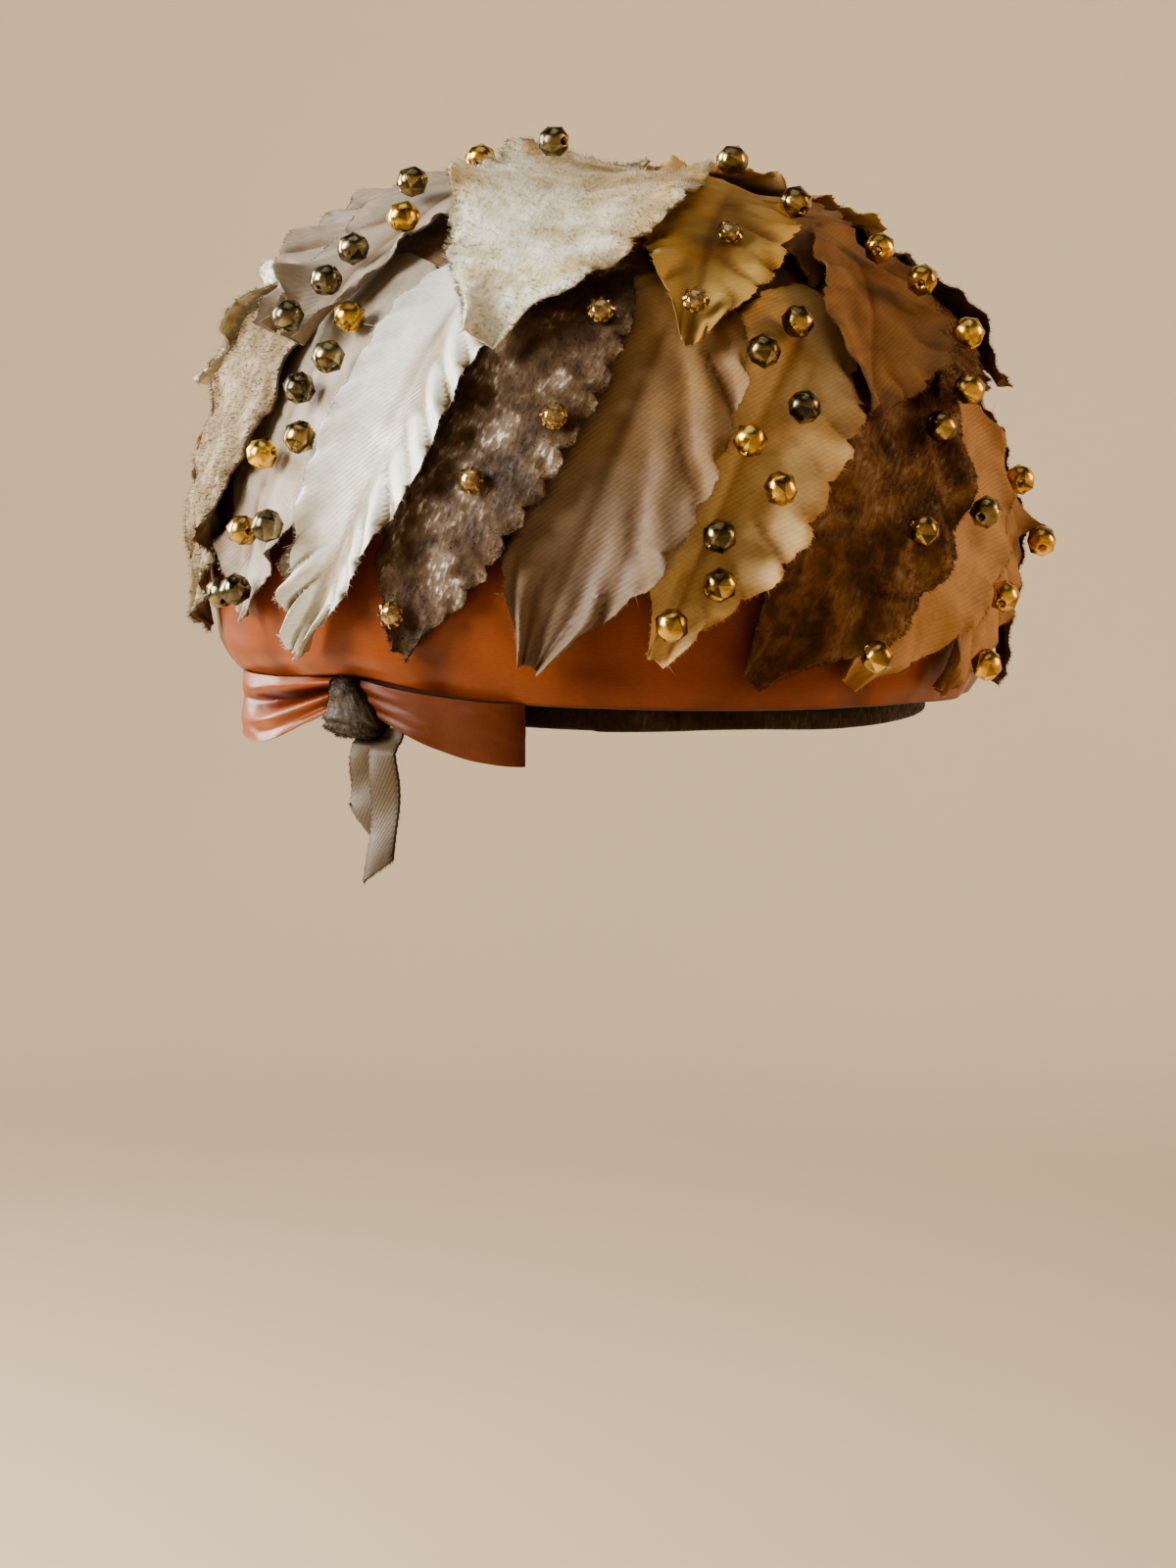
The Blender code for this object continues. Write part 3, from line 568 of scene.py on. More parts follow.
class Crown:
    """The crown's outer surface: |level/breadth|^p + |height/rise|^p = 1 with p the fullness."""

    def __init__(self, settings):
        self.half_width = settings.headband_half_width + settings.overhang
        self.half_length = settings.headband_half_length + settings.overhang
        self.settings = settings
        self.centre = np.array((0.0, 0.0, settings.middle))

    def reach(self, directions):
        """Distance from the crown's centre to its surface along unit vectors."""
        power = self.settings.fullness
        level = np.hypot(directions[..., 0] / self.half_width, directions[..., 1] / self.half_length)
        up = directions[..., 2]
        height = np.where(up > 0, up / self.settings.rise, -up / self.settings.tuck)
        return (level**power + height**power) ** (-1 / power)

    def over(self, directions, heights):
        """Points at the given heights over the surface."""
        return self.centre + directions * (self.reach(directions) + heights)[..., None]

    def share(self, level):
        """Share of the crown's greatest breadth that it has at a level."""
        height = level - self.settings.middle
        part = np.where(height > 0, height / self.settings.rise, -height / self.settings.tuck)
        return (1 - part**self.settings.fullness) ** (1 / self.settings.fullness)


class ClothStack:
    """Height of the topmost cloth over the crown, kept on an equal-area map of directions."""

    cell = 0.001

    def __init__(self, crown):
        self.crown = crown
        self.cells = int(4 * crown.half_length / self.cell)
        self.heights = np.zeros((self.cells + 3, self.cells + 3))

    def place(self, directions):
        """Map cell of each direction."""
        level = np.hypot(directions[..., 0], directions[..., 1])
        radius = np.sqrt(np.maximum(2 - 2 * directions[..., 2], 0)) / np.maximum(level, 1e-9)
        column = (directions[..., 0] * radius / 4 + 0.5) * self.cells
        row = (directions[..., 1] * radius / 4 + 0.5) * self.cells
        return np.rint(row).astype(int) + 1, np.rint(column).astype(int) + 1

    def top(self, directions):
        """Highest cloth in and next to the cell of each direction."""
        row, column = self.place(directions)
        steps = [(down, right) for down in (-1, 0, 1) for right in (-1, 0, 1)]
        return np.max([self.heights[row + down, column + right] for down, right in steps], axis=0)

    def add(self, directions, heights):
        """Lay a surface over the map."""
        np.maximum.at(self.heights, self.place(directions), heights)

    def add_points(self, points):
        """Lay a surface of points in space over the map."""
        arms = points - self.crown.centre
        reach = np.linalg.norm(arms, axis=-1)
        directions = arms / reach[..., None]
        self.add(directions, reach - self.crown.reach(directions))


# The cloth laid so far, kept from one operator to the next
stack_of_cloth = {}


def lattice(rows, columns):
    """Corner numbers of the squares between the points of a grid."""
    numbers = np.arange(rows * columns).reshape(rows, columns)
    near, far = numbers[:-1], numbers[1:]
    corners = (near[:, :-1], near[:, 1:], far[:, 1:], far[:, :-1])
    return np.stack(corners, axis=-1).reshape(-1, 4)


def ring_lattice(rows, columns, closed):
    """Row, column and number of each corner of the squares of a stack of rings, which is closed
    from its last ring to its first as well where that is told."""
    row, column = np.divmod(lattice(rows + closed, columns + 1), columns + 1)
    return row, column, (row % rows) * columns + column % columns


def pole_fans(rows, columns):
    """Triangles from the first and last ring of a stack to two poles numbered after the rings."""
    here = np.arange(columns)
    ahead = np.roll(here, -1)
    count = rows * columns
    last = count - columns
    near = np.stack((ahead, here, 0 * here + count), axis=-1)
    far = np.stack((here + last, ahead + last, 0 * here + count + 1), axis=-1)
    return np.concatenate((near, far))


def map_squares(mesh, across, along, triangles):
    """The cloth map of a mesh whose squares come first; its triangles are left unmapped."""
    flat = np.stack((across, along), axis=-1).reshape(-1, 2)
    flat = np.concatenate((flat, np.zeros((triangles.size, 2))))
    layer = mesh.uv_layers.new(name="cloth")
    layer.data.foreach_set("uv", flat.astype(np.float32).ravel())


def fill_mesh(name, points, squares, corner_uv=None, triangles=None, sharp=None):
    """A mesh from whole arrays; a closed one that encloses less than nothing is turned out."""
    points = np.asarray(points, float).reshape(-1, 3)
    squares = np.asarray(squares, int).reshape(-1, 4)
    triangles = np.zeros((0, 3), int) if triangles is None else np.asarray(triangles, int)
    halves = np.concatenate((squares[:, :3], squares[:, [0, 2, 3]], triangles))
    first, second, third = (points[halves[:, corner]] for corner in range(3))
    if np.einsum("ij,ij->", first, np.cross(second, third)) < 0:
        squares = squares[:, ::-1]
        triangles = triangles[:, ::-1]
        if corner_uv is not None:
            corner_uv = corner_uv[:, ::-1]
    corners = np.concatenate((squares.ravel(), triangles.ravel()))
    starts = np.concatenate(
        (np.arange(len(squares)) * 4, len(squares) * 4 + np.arange(len(triangles)) * 3)
    )
    mesh = bpy.data.meshes.new(name)
    mesh.vertices.add(len(points))
    mesh.vertices.foreach_set("co", points.astype(np.float32).ravel())
    mesh.loops.add(len(corners))
    mesh.loops.foreach_set("vertex_index", corners.astype(np.int32))
    mesh.polygons.add(len(starts))
    mesh.polygons.foreach_set("loop_start", starts.astype(np.int32))
    mesh.update(calc_edges=True)
    if corner_uv is not None:
        layer = mesh.uv_layers.new(name="cloth")
        layer.data.foreach_set("uv", corner_uv.astype(np.float32).ravel())
    if sharp != 0:
        mesh.shade_smooth()
    if sharp:
        mesh.set_sharp_from_angle(angle=np.radians(sharp))
    return mesh


def set_attribute(mesh, name, values):
    """One number for each point of a mesh, for its material to read."""
    layer = mesh.attributes.new(name, "FLOAT", "POINT")
    layer.data.foreach_set("value", np.asarray(values, np.float32).ravel())


def set_both_sides(mesh, name, values):
    """The same numbers for the upper and the lower side of a closed sheet."""
    set_attribute(mesh, name, np.concatenate((values.ravel(), values.ravel())))


def set_painted_facet_reflections(mesh, random, low, high):
    """Painted reflections: a random brightness for each face, standing in for what each facet mirrors.
    """
    layer = mesh.attributes.new("facet", "FLOAT", "FACE")
    values = random.uniform(low, high, len(mesh.polygons))
    layer.data.foreach_set("value", values.astype(np.float32))


def add_piece(name, mesh, slot, nodes=()):
    """Link a mesh as a piece that rides on the hat, takes a slot's finish and stands for nodes."""
    mesh.materials.append(finish(slot))
    piece = bpy.data.objects.new(name, mesh)
    bpy.context.scene.collection.objects.link(piece)
    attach(piece, "root")
    if nodes:
        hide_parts(*nodes)
    return piece


def closed_sheet(name, upper, lower, uv):
    """Two grids of points joined along their border into one closed sheet."""
    rows, columns = upper.shape[:2]
    count = rows * columns
    face = lattice(rows, columns)
    numbers = np.arange(count).reshape(rows, columns)
    border = np.concatenate((numbers[0], numbers[1:, -1], numbers[-1, -2::-1], numbers[-2:0:-1, 0]))
    ahead = np.roll(border, -1)
    rim = np.stack((ahead, border, border + count, ahead + count), axis=-1)
    squares = np.concatenate((face, face[:, ::-1] + count, rim))
    flat = uv.reshape(-1, 2)
    corner_uv = np.concatenate((flat, flat))[squares]
    points = np.concatenate((upper.reshape(-1, 3), lower.reshape(-1, 3)))
    return fill_mesh(name, points, squares, corner_uv, sharp=60)


def ring_sheet(name, rings, heights, girth):
    """A closed profile carried round the hat: rows are the profile, columns go round."""
    rows, columns = rings.shape[:2]
    row, column, squares = ring_lattice(rows, columns, True)
    along = np.linspace(0, girth, columns + 1)[column]
    corner_uv = np.stack((along, np.append(heights, heights[0])[row]), axis=-1)
    return fill_mesh(name, rings, squares, corner_uv, sharp=60)


def bristles(name, roots, arms, side, radius):
    """Hairs: each a three-sided spike from a root along its arm, as wide as twice the radius."""
    across = unit(np.cross(arms, side))
    other = unit(np.cross(arms, across))
    angles = np.radians((90, 210, 330))
    circle = np.cos(angles)[:, None, None] * across + np.sin(angles)[:, None, None] * other
    foot = roots + radius * circle
    points = np.concatenate((foot.transpose(1, 0, 2), (roots + arms)[:, None]), axis=1)
    start = np.arange(len(roots))[:, None] * 4
    faces = np.array(((0, 1, 3), (1, 2, 3), (2, 0, 3), (0, 2, 1)))
    triangles = (start[..., None] + faces).reshape(-1, 3)
    return fill_mesh(name, points, np.zeros((0, 4)), triangles=triangles)


def add_hairs(name, roots, arms, side, radius, slot, **attributes):
    """A piece of hairs that carries the same attributes all over."""
    mesh = bristles(name, roots, arms, side, radius)
    for key, value in attributes.items():
        set_attribute(mesh, key, np.full(len(mesh.vertices), value))
    mesh.uv_layers.new(name="cloth")
    add_piece(name, mesh, slot)


def feed(tree, made, inputs):
    """Set a shader node's inputs to values or to links from other nodes' sockets."""
    for key, value in inputs.items():
        if isinstance(value, bpy.types.NodeSocket):
            tree.links.new(value, made.inputs[key])
        else:
            made.inputs[key].default_value = value


def node(tree, kind, inputs=None, **settings):
    """Add a shader node; an input takes a value or a link from another node's socket."""
    made = tree.nodes.new(kind)
    for key, value in settings.items():
        setattr(made, key, value)
    feed(tree, made, inputs or {})
    return made


def mixed(tree, amount, first, second, blend="MIX"):
    """Colour between two colours or sockets."""
    inputs = {0: amount, 6: first, 7: second}
    return node(tree, "ShaderNodeMix", inputs, data_type="RGBA", blend_type=blend).outputs[2]


def ranged(tree, value, low, high, start=0.0, end=1.0):
    """Value spread from low..high to start..end, held at the ends."""
    inputs = {0: value, 1: low, 2: high, 3: start, 4: end}
    return node(tree, "ShaderNodeMapRange", inputs).outputs[0]


def times(tree, first, second):
    """Product of two numbers or sockets."""
    return node(tree, "ShaderNodeMath", {0: first, 1: second}, operation="MULTIPLY").outputs[0]


def plus(tree, first, second):
    """Sum of two numbers or sockets."""
    return node(tree, "ShaderNodeMath", {0: first, 1: second}, operation="ADD").outputs[0]


def attribute(tree, name):
    """A number that the mesh carries at its points or faces."""
    return node(tree, "ShaderNodeAttribute", attribute_name=name).outputs["Fac"]


def shaded(tree, body, amount):
    """A colour times a number."""
    grey = node(tree, "ShaderNodeCombineColor", {0: amount, 1: amount, 2: amount}).outputs[0]
    return mixed(tree, 1.0, body, grey, "MULTIPLY")


def textured(
    tree, kind, scale, stretch=(1, 1, 1), place="uv", inputs=None, result="Fac", **settings
):
    """Noise or waves on the cloth's own map or on the object's coordinates, in metres."""
    if place == "uv":
        source = node(tree, "ShaderNodeUVMap", uv_map="cloth").outputs[0]
    else:
        source = node(tree, "ShaderNodeTexCoord").outputs["Object"]
    mapping = node(tree, "ShaderNodeMapping", {"Vector": source, "Scale": stretch})
    values = {"Vector": mapping.outputs[0], "Scale": scale, **(inputs or {})}
    return node(tree, kind, values, **settings).outputs[result]


def pigment(slot):
    """First and second colour of a slot with full alpha."""
    return [(*value, 1.0) for value in COLOURS[slot]]


def mix_colours(first, second, part):
    """Plain average of two colours."""
    return [a * (1 - part) + b * part for a, b in zip(first, second)]


def velvet_finish(tree, shader, slot):
    """Crushed pile: soft dark and light patches where it lies or stands, partly its own colour and
    partly painted sheen, short painted glints along the pile on the standing patches, painted shade
    between the streaks, and a soft sheen."""
    first, second = pigment(slot)
    flat_pile, pale, painted_glint_share, sheen = VELVETS[slot]
    tone = attribute(tree, "tone")
    patches = textured(tree, NOISE, 75, place="object", inputs={"Detail": 2.5, "Distortion": 0.3})
    crush = textured(tree, NOISE, 300, place="object", inputs={"Detail": 4.0, "Distortion": 0.25})
    streaks = textured(tree, NOISE, 1050, (1, 0.38, 1), inputs={"Detail": 3.0})
    base = mixed(tree, tone, first, second)
    dark = mixed(tree, 1.0, base, (*flat_pile, 1), "MULTIPLY")
    light = mixed(tree, pale, base, PALE_PILE_AND_SHEEN)
    height = plus(tree, patches, times(tree, crush, 0.4))
    stand = ranged(tree, height, 0.72, 0.90)
    body = mixed(tree, ranged(tree, height, 0.56, 0.78), dark, base)
    # Partly painted sheen: the standing patches are lightened towards the pale pile
    body = mixed(tree, times(tree, stand, 0.6), body, light)
    # Painted highlight: pale glints on the streaks of the standing patches
    glint = times(tree, ranged(tree, streaks, 0.52, 0.68), stand)
    glint = times(tree, glint, ranged(tree, tone, 0.0, 1.0, painted_glint_share, 0.3 * painted_glint_share))
    body = mixed(tree, glint, body, PAINTED_GLINT_PILE)
    relief = plus(tree, crush, times(tree, streaks, 0.6))
    fine = node(tree, "ShaderNodeBump", {"Strength": 1.0, "Distance": 0.0005, "Height": relief})
    broad = {"Strength": 0.8, "Distance": 0.0013, "Height": patches, "Normal": fine.outputs[0]}
    # Painted shade: the colour is darkened, down to 0.82, between the pile streaks
    sockets = {
        "Base Color": shaded(tree, body, ranged(tree, streaks, 0.30, 0.50, 0.82, 1.0)),
        "Roughness": ranged(tree, streaks, 0.35, 0.65, 0.80, 0.42),
        "Specular IOR Level": 0.2,
        "Sheen Weight": sheen,
        "Sheen Roughness": 0.35,
        "Sheen Tint": mix_colours(first, VELVET_SHEEN, 0.4),
        "Normal": node(tree, "ShaderNodeBump", broad).outputs[0],
    }
    feed(tree, shader, sockets)


def satin_finish(tree, shader, slot):
    """Dyed satin: fine twill lines, cloudy colour, painted shade in the hollows and a soft broad
    gloss that is duller where the second colour is, which on the copper band and right wing is
    painted shade."""
    first, second = pigment(slot)
    smooth, rough, specular, sheen, weave, hollow = SATINS.get(slot, PLAIN_SATIN)
    tone = attribute(tree, "tone")
    clouds = textured(tree, NOISE, 90, place="object", inputs={"Detail": 3.0, "Distortion": 0.4})
    lines = {"Detail": 2.0, "Distortion": 1.5, "Detail Scale": 2.0}
    twill = textured(tree, WAVE, 620, (1, 0.6, 1), inputs=lines, bands_direction="DIAGONAL")
    threads = textured(tree, NOISE, 2200, (0.25, 1, 1), inputs={"Detail": 2.0})
    dye_and_shade = plus(tree, tone, ranged(tree, clouds, 0.3, 0.7, -0.2, 0.25))
    base = mixed(tree, ranged(tree, dye_and_shade, 0.0, 1.0), first, second)
    # Painted shade: hollows, where the fold value is low, are darkened towards the valley colour
    painted_valley_shade = mixed(tree, 1.0, base, (*hollow, 1), "MULTIPLY")
    base = mixed(tree, ranged(tree, attribute(tree, "fold"), 0.10, 0.56), painted_valley_shade, base)
    shade = ranged(tree, twill, 0, 1, 1 - 0.08 * weave, 1 + 0.04 * weave)
    shade = times(tree, shade, ranged(tree, threads, 0.3, 0.7, 0.90, 1.08))
    polish = ranged(tree, clouds, 0.3, 0.7, smooth, rough)
    relief = plus(tree, twill, threads)
    bump = {"Strength": 0.4, "Distance": 0.00002 + 0.00010 * weave, "Height": relief}
    sockets = {
        "Base Color": shaded(tree, base, shade),
        "Roughness": plus(tree, polish, times(tree, tone, 0.15)),
        "Specular IOR Level": specular,
        "Specular Tint": mix_colours(first, (1, 1, 1, 1), 0.6),
        "Sheen Weight": sheen,
        "Sheen Roughness": 0.4,
        "Sheen Tint": mix_colours(first, SATIN_SHEEN, 0.4),
        "Normal": node(tree, "ShaderNodeBump", bump).outputs[0],
    }
    feed(tree, shader, sockets)


def bead_finish(tree, shader, slot):
    """Plated glass: gunmetal to gold by the bead's own tone, a painted reflection on each facet, and a
    slightly cloudy polish.
    """
    first, second = pigment(slot)
    cloud = textured(tree, NOISE, 500, place="object", inputs={"Detail": 2.0})
    gilt = ranged(tree, attribute(tree, "tone"), 0.15, 0.95)
    sockets = {
        "Base Color": shaded(tree, mixed(tree, gilt, first, second), attribute(tree, "facet")),
        "Roughness": ranged(tree, cloud, 0.35, 0.65, 0.18, 0.34),
        "Metallic": 1.0,
    }
    feed(tree, shader, sockets)


def stone_finish(tree, shader, slot):
    """Foiled topaz: painted reflections, bright and dark facets picked by a random tone for each point
    and darkened in a cell pattern, under a glassy coat.
    """
    first, second = pigment(slot)
    spark = textured(tree, "ShaderNodeTexVoronoi", 900, place="object", result="Distance")
    body = mixed(tree, attribute(tree, "tone"), first, second)
    body = mixed(tree, times(tree, ranged(tree, spark, 0.1, 0.6), 0.5), body, second)
    sockets = {
        "Base Color": body,
        "Metallic": 0.55,
        "Roughness": 0.12,
        "Coat Weight": 1.0,
        "Coat Roughness": 0.03,
    }
    feed(tree, shader, sockets)


def backdrop_finish(tree, shader):
    """Plain matte paint with a faint unevenness."""
    tint = (*bpy.context.scene.hat_stage.backdrop, 1.0)
    cloud = textured(tree, NOISE, 2.0, place="object", inputs={"Detail": 3.0})
    paint = mixed(tree, ranged(tree, cloud, 0.3, 0.7, 0.0, 0.12), tint, WORN_PAINT)
    feed(tree, shader, {"Base Color": paint, "Roughness": 0.9})


def finish(slot):
    """The material of a slot, made the first time it is asked for."""
    known = bpy.data.materials.get("cloth_" + slot)
    if known:
        return known
    made = bpy.data.materials.new("cloth_" + slot)
    made.use_nodes = True
    tree = made.node_tree
    shader = tree.nodes["Principled BSDF"]
    if slot in VELVETS:
        velvet_finish(tree, shader, slot)
    elif "satin" in slot or slot == "ribbon_velvet":
        satin_finish(tree, shader, slot)
    elif slot == "bead_metal":
        bead_finish(tree, shader, slot)
    elif slot == "topaz_stone":
        stone_finish(tree, shader, slot)
    else:
        backdrop_finish(tree, shader)
    return made


def ring_points(half_width, half_length, level, columns):
    """Points round the hat at a level: (a sin t, -b cos t, level) for t round a full circle."""
    turns = np.linspace(0, 2 * np.pi, columns, endpoint=False)
    parts = (half_width * np.sin(turns), -half_length * np.cos(turns), level + 0 * turns)
    return np.stack(np.broadcast_arrays(*parts), axis=-1)


def girth_of(half_width, half_length):
    """Length round an ellipse, from the root mean square of its half axes."""
    return 2 * np.pi * np.hypot(half_width, half_length) / 2**0.5


def rounded_strip(height, wall, rows):
    """Profile of a strip with a rolled lower edge: outward and upward places, outside first."""
    radius = wall / 2
    bend = np.linspace(0, np.pi, 7)[1:-1]
    up = np.linspace(height - radius, radius, rows)
    out = np.concatenate((0 * up, -radius + radius * np.cos(bend), 0 * up - wall))
    level = np.concatenate((up, radius - radius * np.sin(bend), up[::-1]))
    over = np.linspace(np.pi, 0, 7)[1:-1]
    out = np.concatenate((out, -radius + radius * np.cos(over)))
    level = np.concatenate((level, height - radius + radius * np.sin(over)))
    return out, level


class HAT_OT_headband(bpy.types.Operator):
    """Build the velvet headband: a strip with rolled edges carried round the head opening"""

    bl_idname = "hat.headband"
    bl_label = "Headband"

    def execute(self, context):
        crown = context.scene.hat_crown
        columns = 320
        out, level = rounded_strip(crown.headband_height, crown.headband_wall, 12)
        turns = np.linspace(0, 1, columns, endpoint=False)
        ripple = layered_noise(3, turns * 64, level[:, None] * 90 + 0 * turns) * crown.ripple
        low = eased(crown.headband_height / 2 - level, 0, crown.headband_height / 2)[:, None]
        sag = low * noise(5, turns * 16, 0 * turns) * crown.sag
        rings = ring_points(
            crown.headband_half_width + out[:, None] + ripple,
            crown.headband_half_length + out[:, None] + ripple,
            level[:, None] + sag,
            columns,
        )
        girth = girth_of(crown.headband_half_width, crown.headband_half_length)
        mesh = ring_sheet("headband", rings, level, girth)
        set_attribute(mesh, "tone", 0.3 + 0.3 * ripple / crown.ripple)
        piece = add_piece("headband_velvet", mesh, "olive_velvet", ["headband"])
        return {"FINISHED"}


class HAT_OT_crown(bpy.types.Operator):
    """Build the moulded crown: a hollow dome turned from its outer and inner profile"""

    bl_idname = "hat.crown"
    bl_label = "Crown"

    def execute(self, context):
        settings = context.scene.hat_crown
        band = context.scene.hat_band
        crown = Crown(settings)
        rim = band.edge + band.wall + band.arch + band.gap
        power = settings.fullness
        rim_angle = np.pi - np.arcsin(crown.share(rim) ** (power / 2))
        angles = np.linspace(0.04, rim_angle, 40)
        rings = []
        for inset, run in ((0, angles), (settings.wall, angles[::-1])):
            part = np.sin(run) ** (2 / power)
            lift = abs(np.cos(run)) ** (2 / power)
            reach = np.where(run < np.pi / 2, settings.rise - inset, inset - settings.tuck)
            level = np.maximum(settings.middle + reach * lift, rim)
            half_width = (crown.half_width - inset) * part
            half_length = (crown.half_length - inset) * part
            rings.append(ring_points(half_width[:, None], half_length[:, None], level[:, None], 96))
        rings = np.concatenate(rings)
        rows, columns = rings.shape[:2]
        row, column, squares = ring_lattice(rows, columns, False)
        triangles = pole_fans(rows, columns)
        poles = rings[[0, -1]].mean(axis=1)
        poles[:, 2] = settings.middle + settings.rise - np.array((0, settings.wall))
        points = np.concatenate((rings.reshape(-1, 3), poles))
        mesh = fill_mesh("crown", points, squares, triangles=triangles, sharp=60)
        map_squares(mesh, column * CROWN_STEP[0], row * CROWN_STEP[1], triangles)
        set_attribute(mesh, "tone", np.zeros(len(points)))
        add_piece("crown_shell", mesh, "crown_cloth", ["crown"])
        return {"FINISHED"}


def band_profile():
    """Outside of the satin band from its top to its lower edge: shares of its height and puff."""
    shares = 1 - np.linspace(0, 1, 30) ** 1.6
    return shares, table_curve(shares, BAND_FOLDS[::-1], 1)


def band_rings(band, crown, shares, stand_out, columns):
    """Rings at shares of the band's height, standing out from the crown, arched over the knot."""
    shares = shares[:, None]
    level = band.edge + shares * (band.top - band.edge)
    turns = np.linspace(0, 360, columns, endpoint=False)
    away = (turns - bpy.context.scene.hat_bow.turn + 180) % 360 - 180
    arch = band.arch * (1 - shares) ** 4 * np.exp(-((away / band.arch_spread) ** 2))
    part = crown.share(level)
    return ring_points(
        crown.half_width * part + stand_out,
        crown.half_length * part + stand_out,
        level + arch,
        columns,
    )


class HAT_OT_satin_band(bpy.types.Operator):
    """Build the satin band: its folded profile carried round the crown, with soft wrinkles"""

    bl_idname = "hat.satin_band"
    bl_label = "Satin band"

    def execute(self, context):
        settings = context.scene.hat_crown
        band = context.scene.hat_band
        crown = Crown(settings)
        columns = 480
        shares, puff = band_profile()
        turns = np.linspace(0, 360, columns, endpoint=False)
        away = (turns - context.scene.hat_bow.turn + 180) % 360 - 180
        rows = shares[:, None] + 0 * turns
        swell = layered_noise(11, turns / 360 * 32, rows * 1.5) * band.wrinkle
        drag = noise(17, turns / 360 * 64 + rows * 2.0, rows * 2.5) * band.wrinkle * 0.8
        near_knot = np.exp(-((away / GATHER_REACH) ** 2))
        course = abs(away) / GATHER_PITCH + rows * 5
        gather = near_knot * np.sin(course) * band.wrinkle * 0.9 * (1 - rows)
        begins, full, fades, ends = BAND_SAG_TURNS
        droop = -BAND_SAG * eased(turns, begins, full) * (1 - eased(turns, fades, ends))
        droop = droop * (1 - rows) ** 3
        wrinkles = (swell + drag + gather) * eased(1 - rows, 0.05, 0.3)
        stand_out = band.gap + band.wall + puff[:, None] * band.puff + wrinkles
        outside = band_rings(band, crown, shares, stand_out, columns)
        outside[..., 2] += droop
        lean = unit(outside * (1, 1, 0))
        inside = outside - lean * band.wall
        inside[..., 2] = np.maximum(inside[..., 2], outside[-1, :, 2] + band.wall)
        edge = outside[-1]
        bend = np.radians((30, 60, 90))[:, None, None]
        roll = edge - lean[-1] * band.wall * (1 - np.cos(bend)) * 0.8
        roll = roll + np.array((0, 0, -0.5 * band.wall)) * np.sin(bend)
        ledge = ring_points(
            settings.headband_half_width + band.gap,
            settings.headband_half_length + band.gap,
            0.0,
            columns,
        )
        ledge[:, 2] = edge[:, 2] - 0.2 * band.wall
        run = np.linspace(0, 1, 9)[1:, None, None]
        under = roll[-1] * (1 - run) + ledge * run
        over = under[::-1] + np.array((0, 0, band.wall))
        rings = np.concatenate((outside, roll, under, over, inside[::-1]))
        girth = girth_of(crown.half_width, crown.half_length)
        steps = np.linalg.norm(np.diff(rings[:, 0], axis=0), axis=-1)
        heights = np.concatenate(((0,), np.cumsum(steps)))
        mesh = ring_sheet("satin_band", rings, heights, girth)
        # Painted shade: the fold value is low in the wrinkles' valleys and 0 on the rolled edge and
        # underside; the satin finish darkens those and the tone gives them more of the darker second
        # colour
        fold = np.zeros(rings.shape[:2])
        fold[: len(shares)] = 0.5 + wrinkles / band.wrinkle * 0.35
        set_attribute(mesh, "fold", fold)
        set_attribute(mesh, "tone", np.clip(0.35 - 0.5 * fold, 0, 1))
        piece = add_piece("satin_band_wrap", mesh, "copper_satin", ["satin_band"])
        stack = ClothStack(crown)
        looped = np.concatenate((outside, outside[:, :1]), axis=1)
        stack.add_points(resampled(looped, 3))
        stack_of_cloth["hat"] = stack
        return {"FINISHED"}


def lobes_of(cut, u, v):
    """Number of lobes along the leaf's edge at each side, and how far they have grown, 0 to 1."""
    start = np.where(u < 0, cut.left_from, LOBES_FROM)
    return np.where(u < 0, cut.left, cut.right), eased(v, start, start + LOBES_GROW)


def leaf_grid(leaf, cut, leaves, crown, stations, columns, number):
    """Directions of a leaf. The midline is the arc from root to tip, whose root is rounded; u is
    an offset at right angles to it, half the width times the outline, less a notch between lobes
    that fades in towards the midline as |u| to the third, and less a little noise where the cut
    edge frays."""
    _, tip_turn, tip_drop, root_turn, root_drop, width, bow, _ = leaf
    root = direction(root_turn, root_drop)
    tip = direction(tip_turn, tip_drop)
    side = unit(np.cross(root, tip))
    along = np.cross(side, root)
    sweep = np.arccos(root @ tip)
    v = np.linspace(0, 1, stations)[:, None]
    u = np.sin(np.linspace(-1, 1, columns) * np.pi / 2.3) / np.sin(np.pi / 2.3)
    u = u[None, :]
    half_angle = width * leaves.width / 2 / crown.half_width
    outline = table_curve(v, LEAF_OUTLINE, 1) * (0.65 + 0.35 * np.sqrt(np.clip(v / 0.12, 0, 1)))
    lobes, grown = lobes_of(cut, u, v)
    lobe = np.sqrt(abs(np.sin(np.pi * lobes * v)))
    notch = cut.depth * (1 - lobe) * abs(u) ** 3 * grown
    frayed = 0.07 * abs(layered_noise(number + 300, np.sign(u) * 5 + 9, v * 42, 2))
    notch = (notch + frayed * abs(u) ** 8) * (1 - eased(v, 0.9, 0.99))
    offset = bow * half_angle * 2 * np.sin(np.pi * v)
    lateral = offset + outline * half_angle * u * (1 - notch)
    midline = np.cos(v * sweep)[..., None] * root + np.sin(v * sweep)[..., None] * along
    directions = np.cos(lateral)[..., None] * midline + np.sin(lateral)[..., None] * side
    reach = crown.half_width
    uv = np.stack(np.broadcast_arrays(lateral * reach, v * sweep * reach), axis=-1)
    return directions, u, v, uv


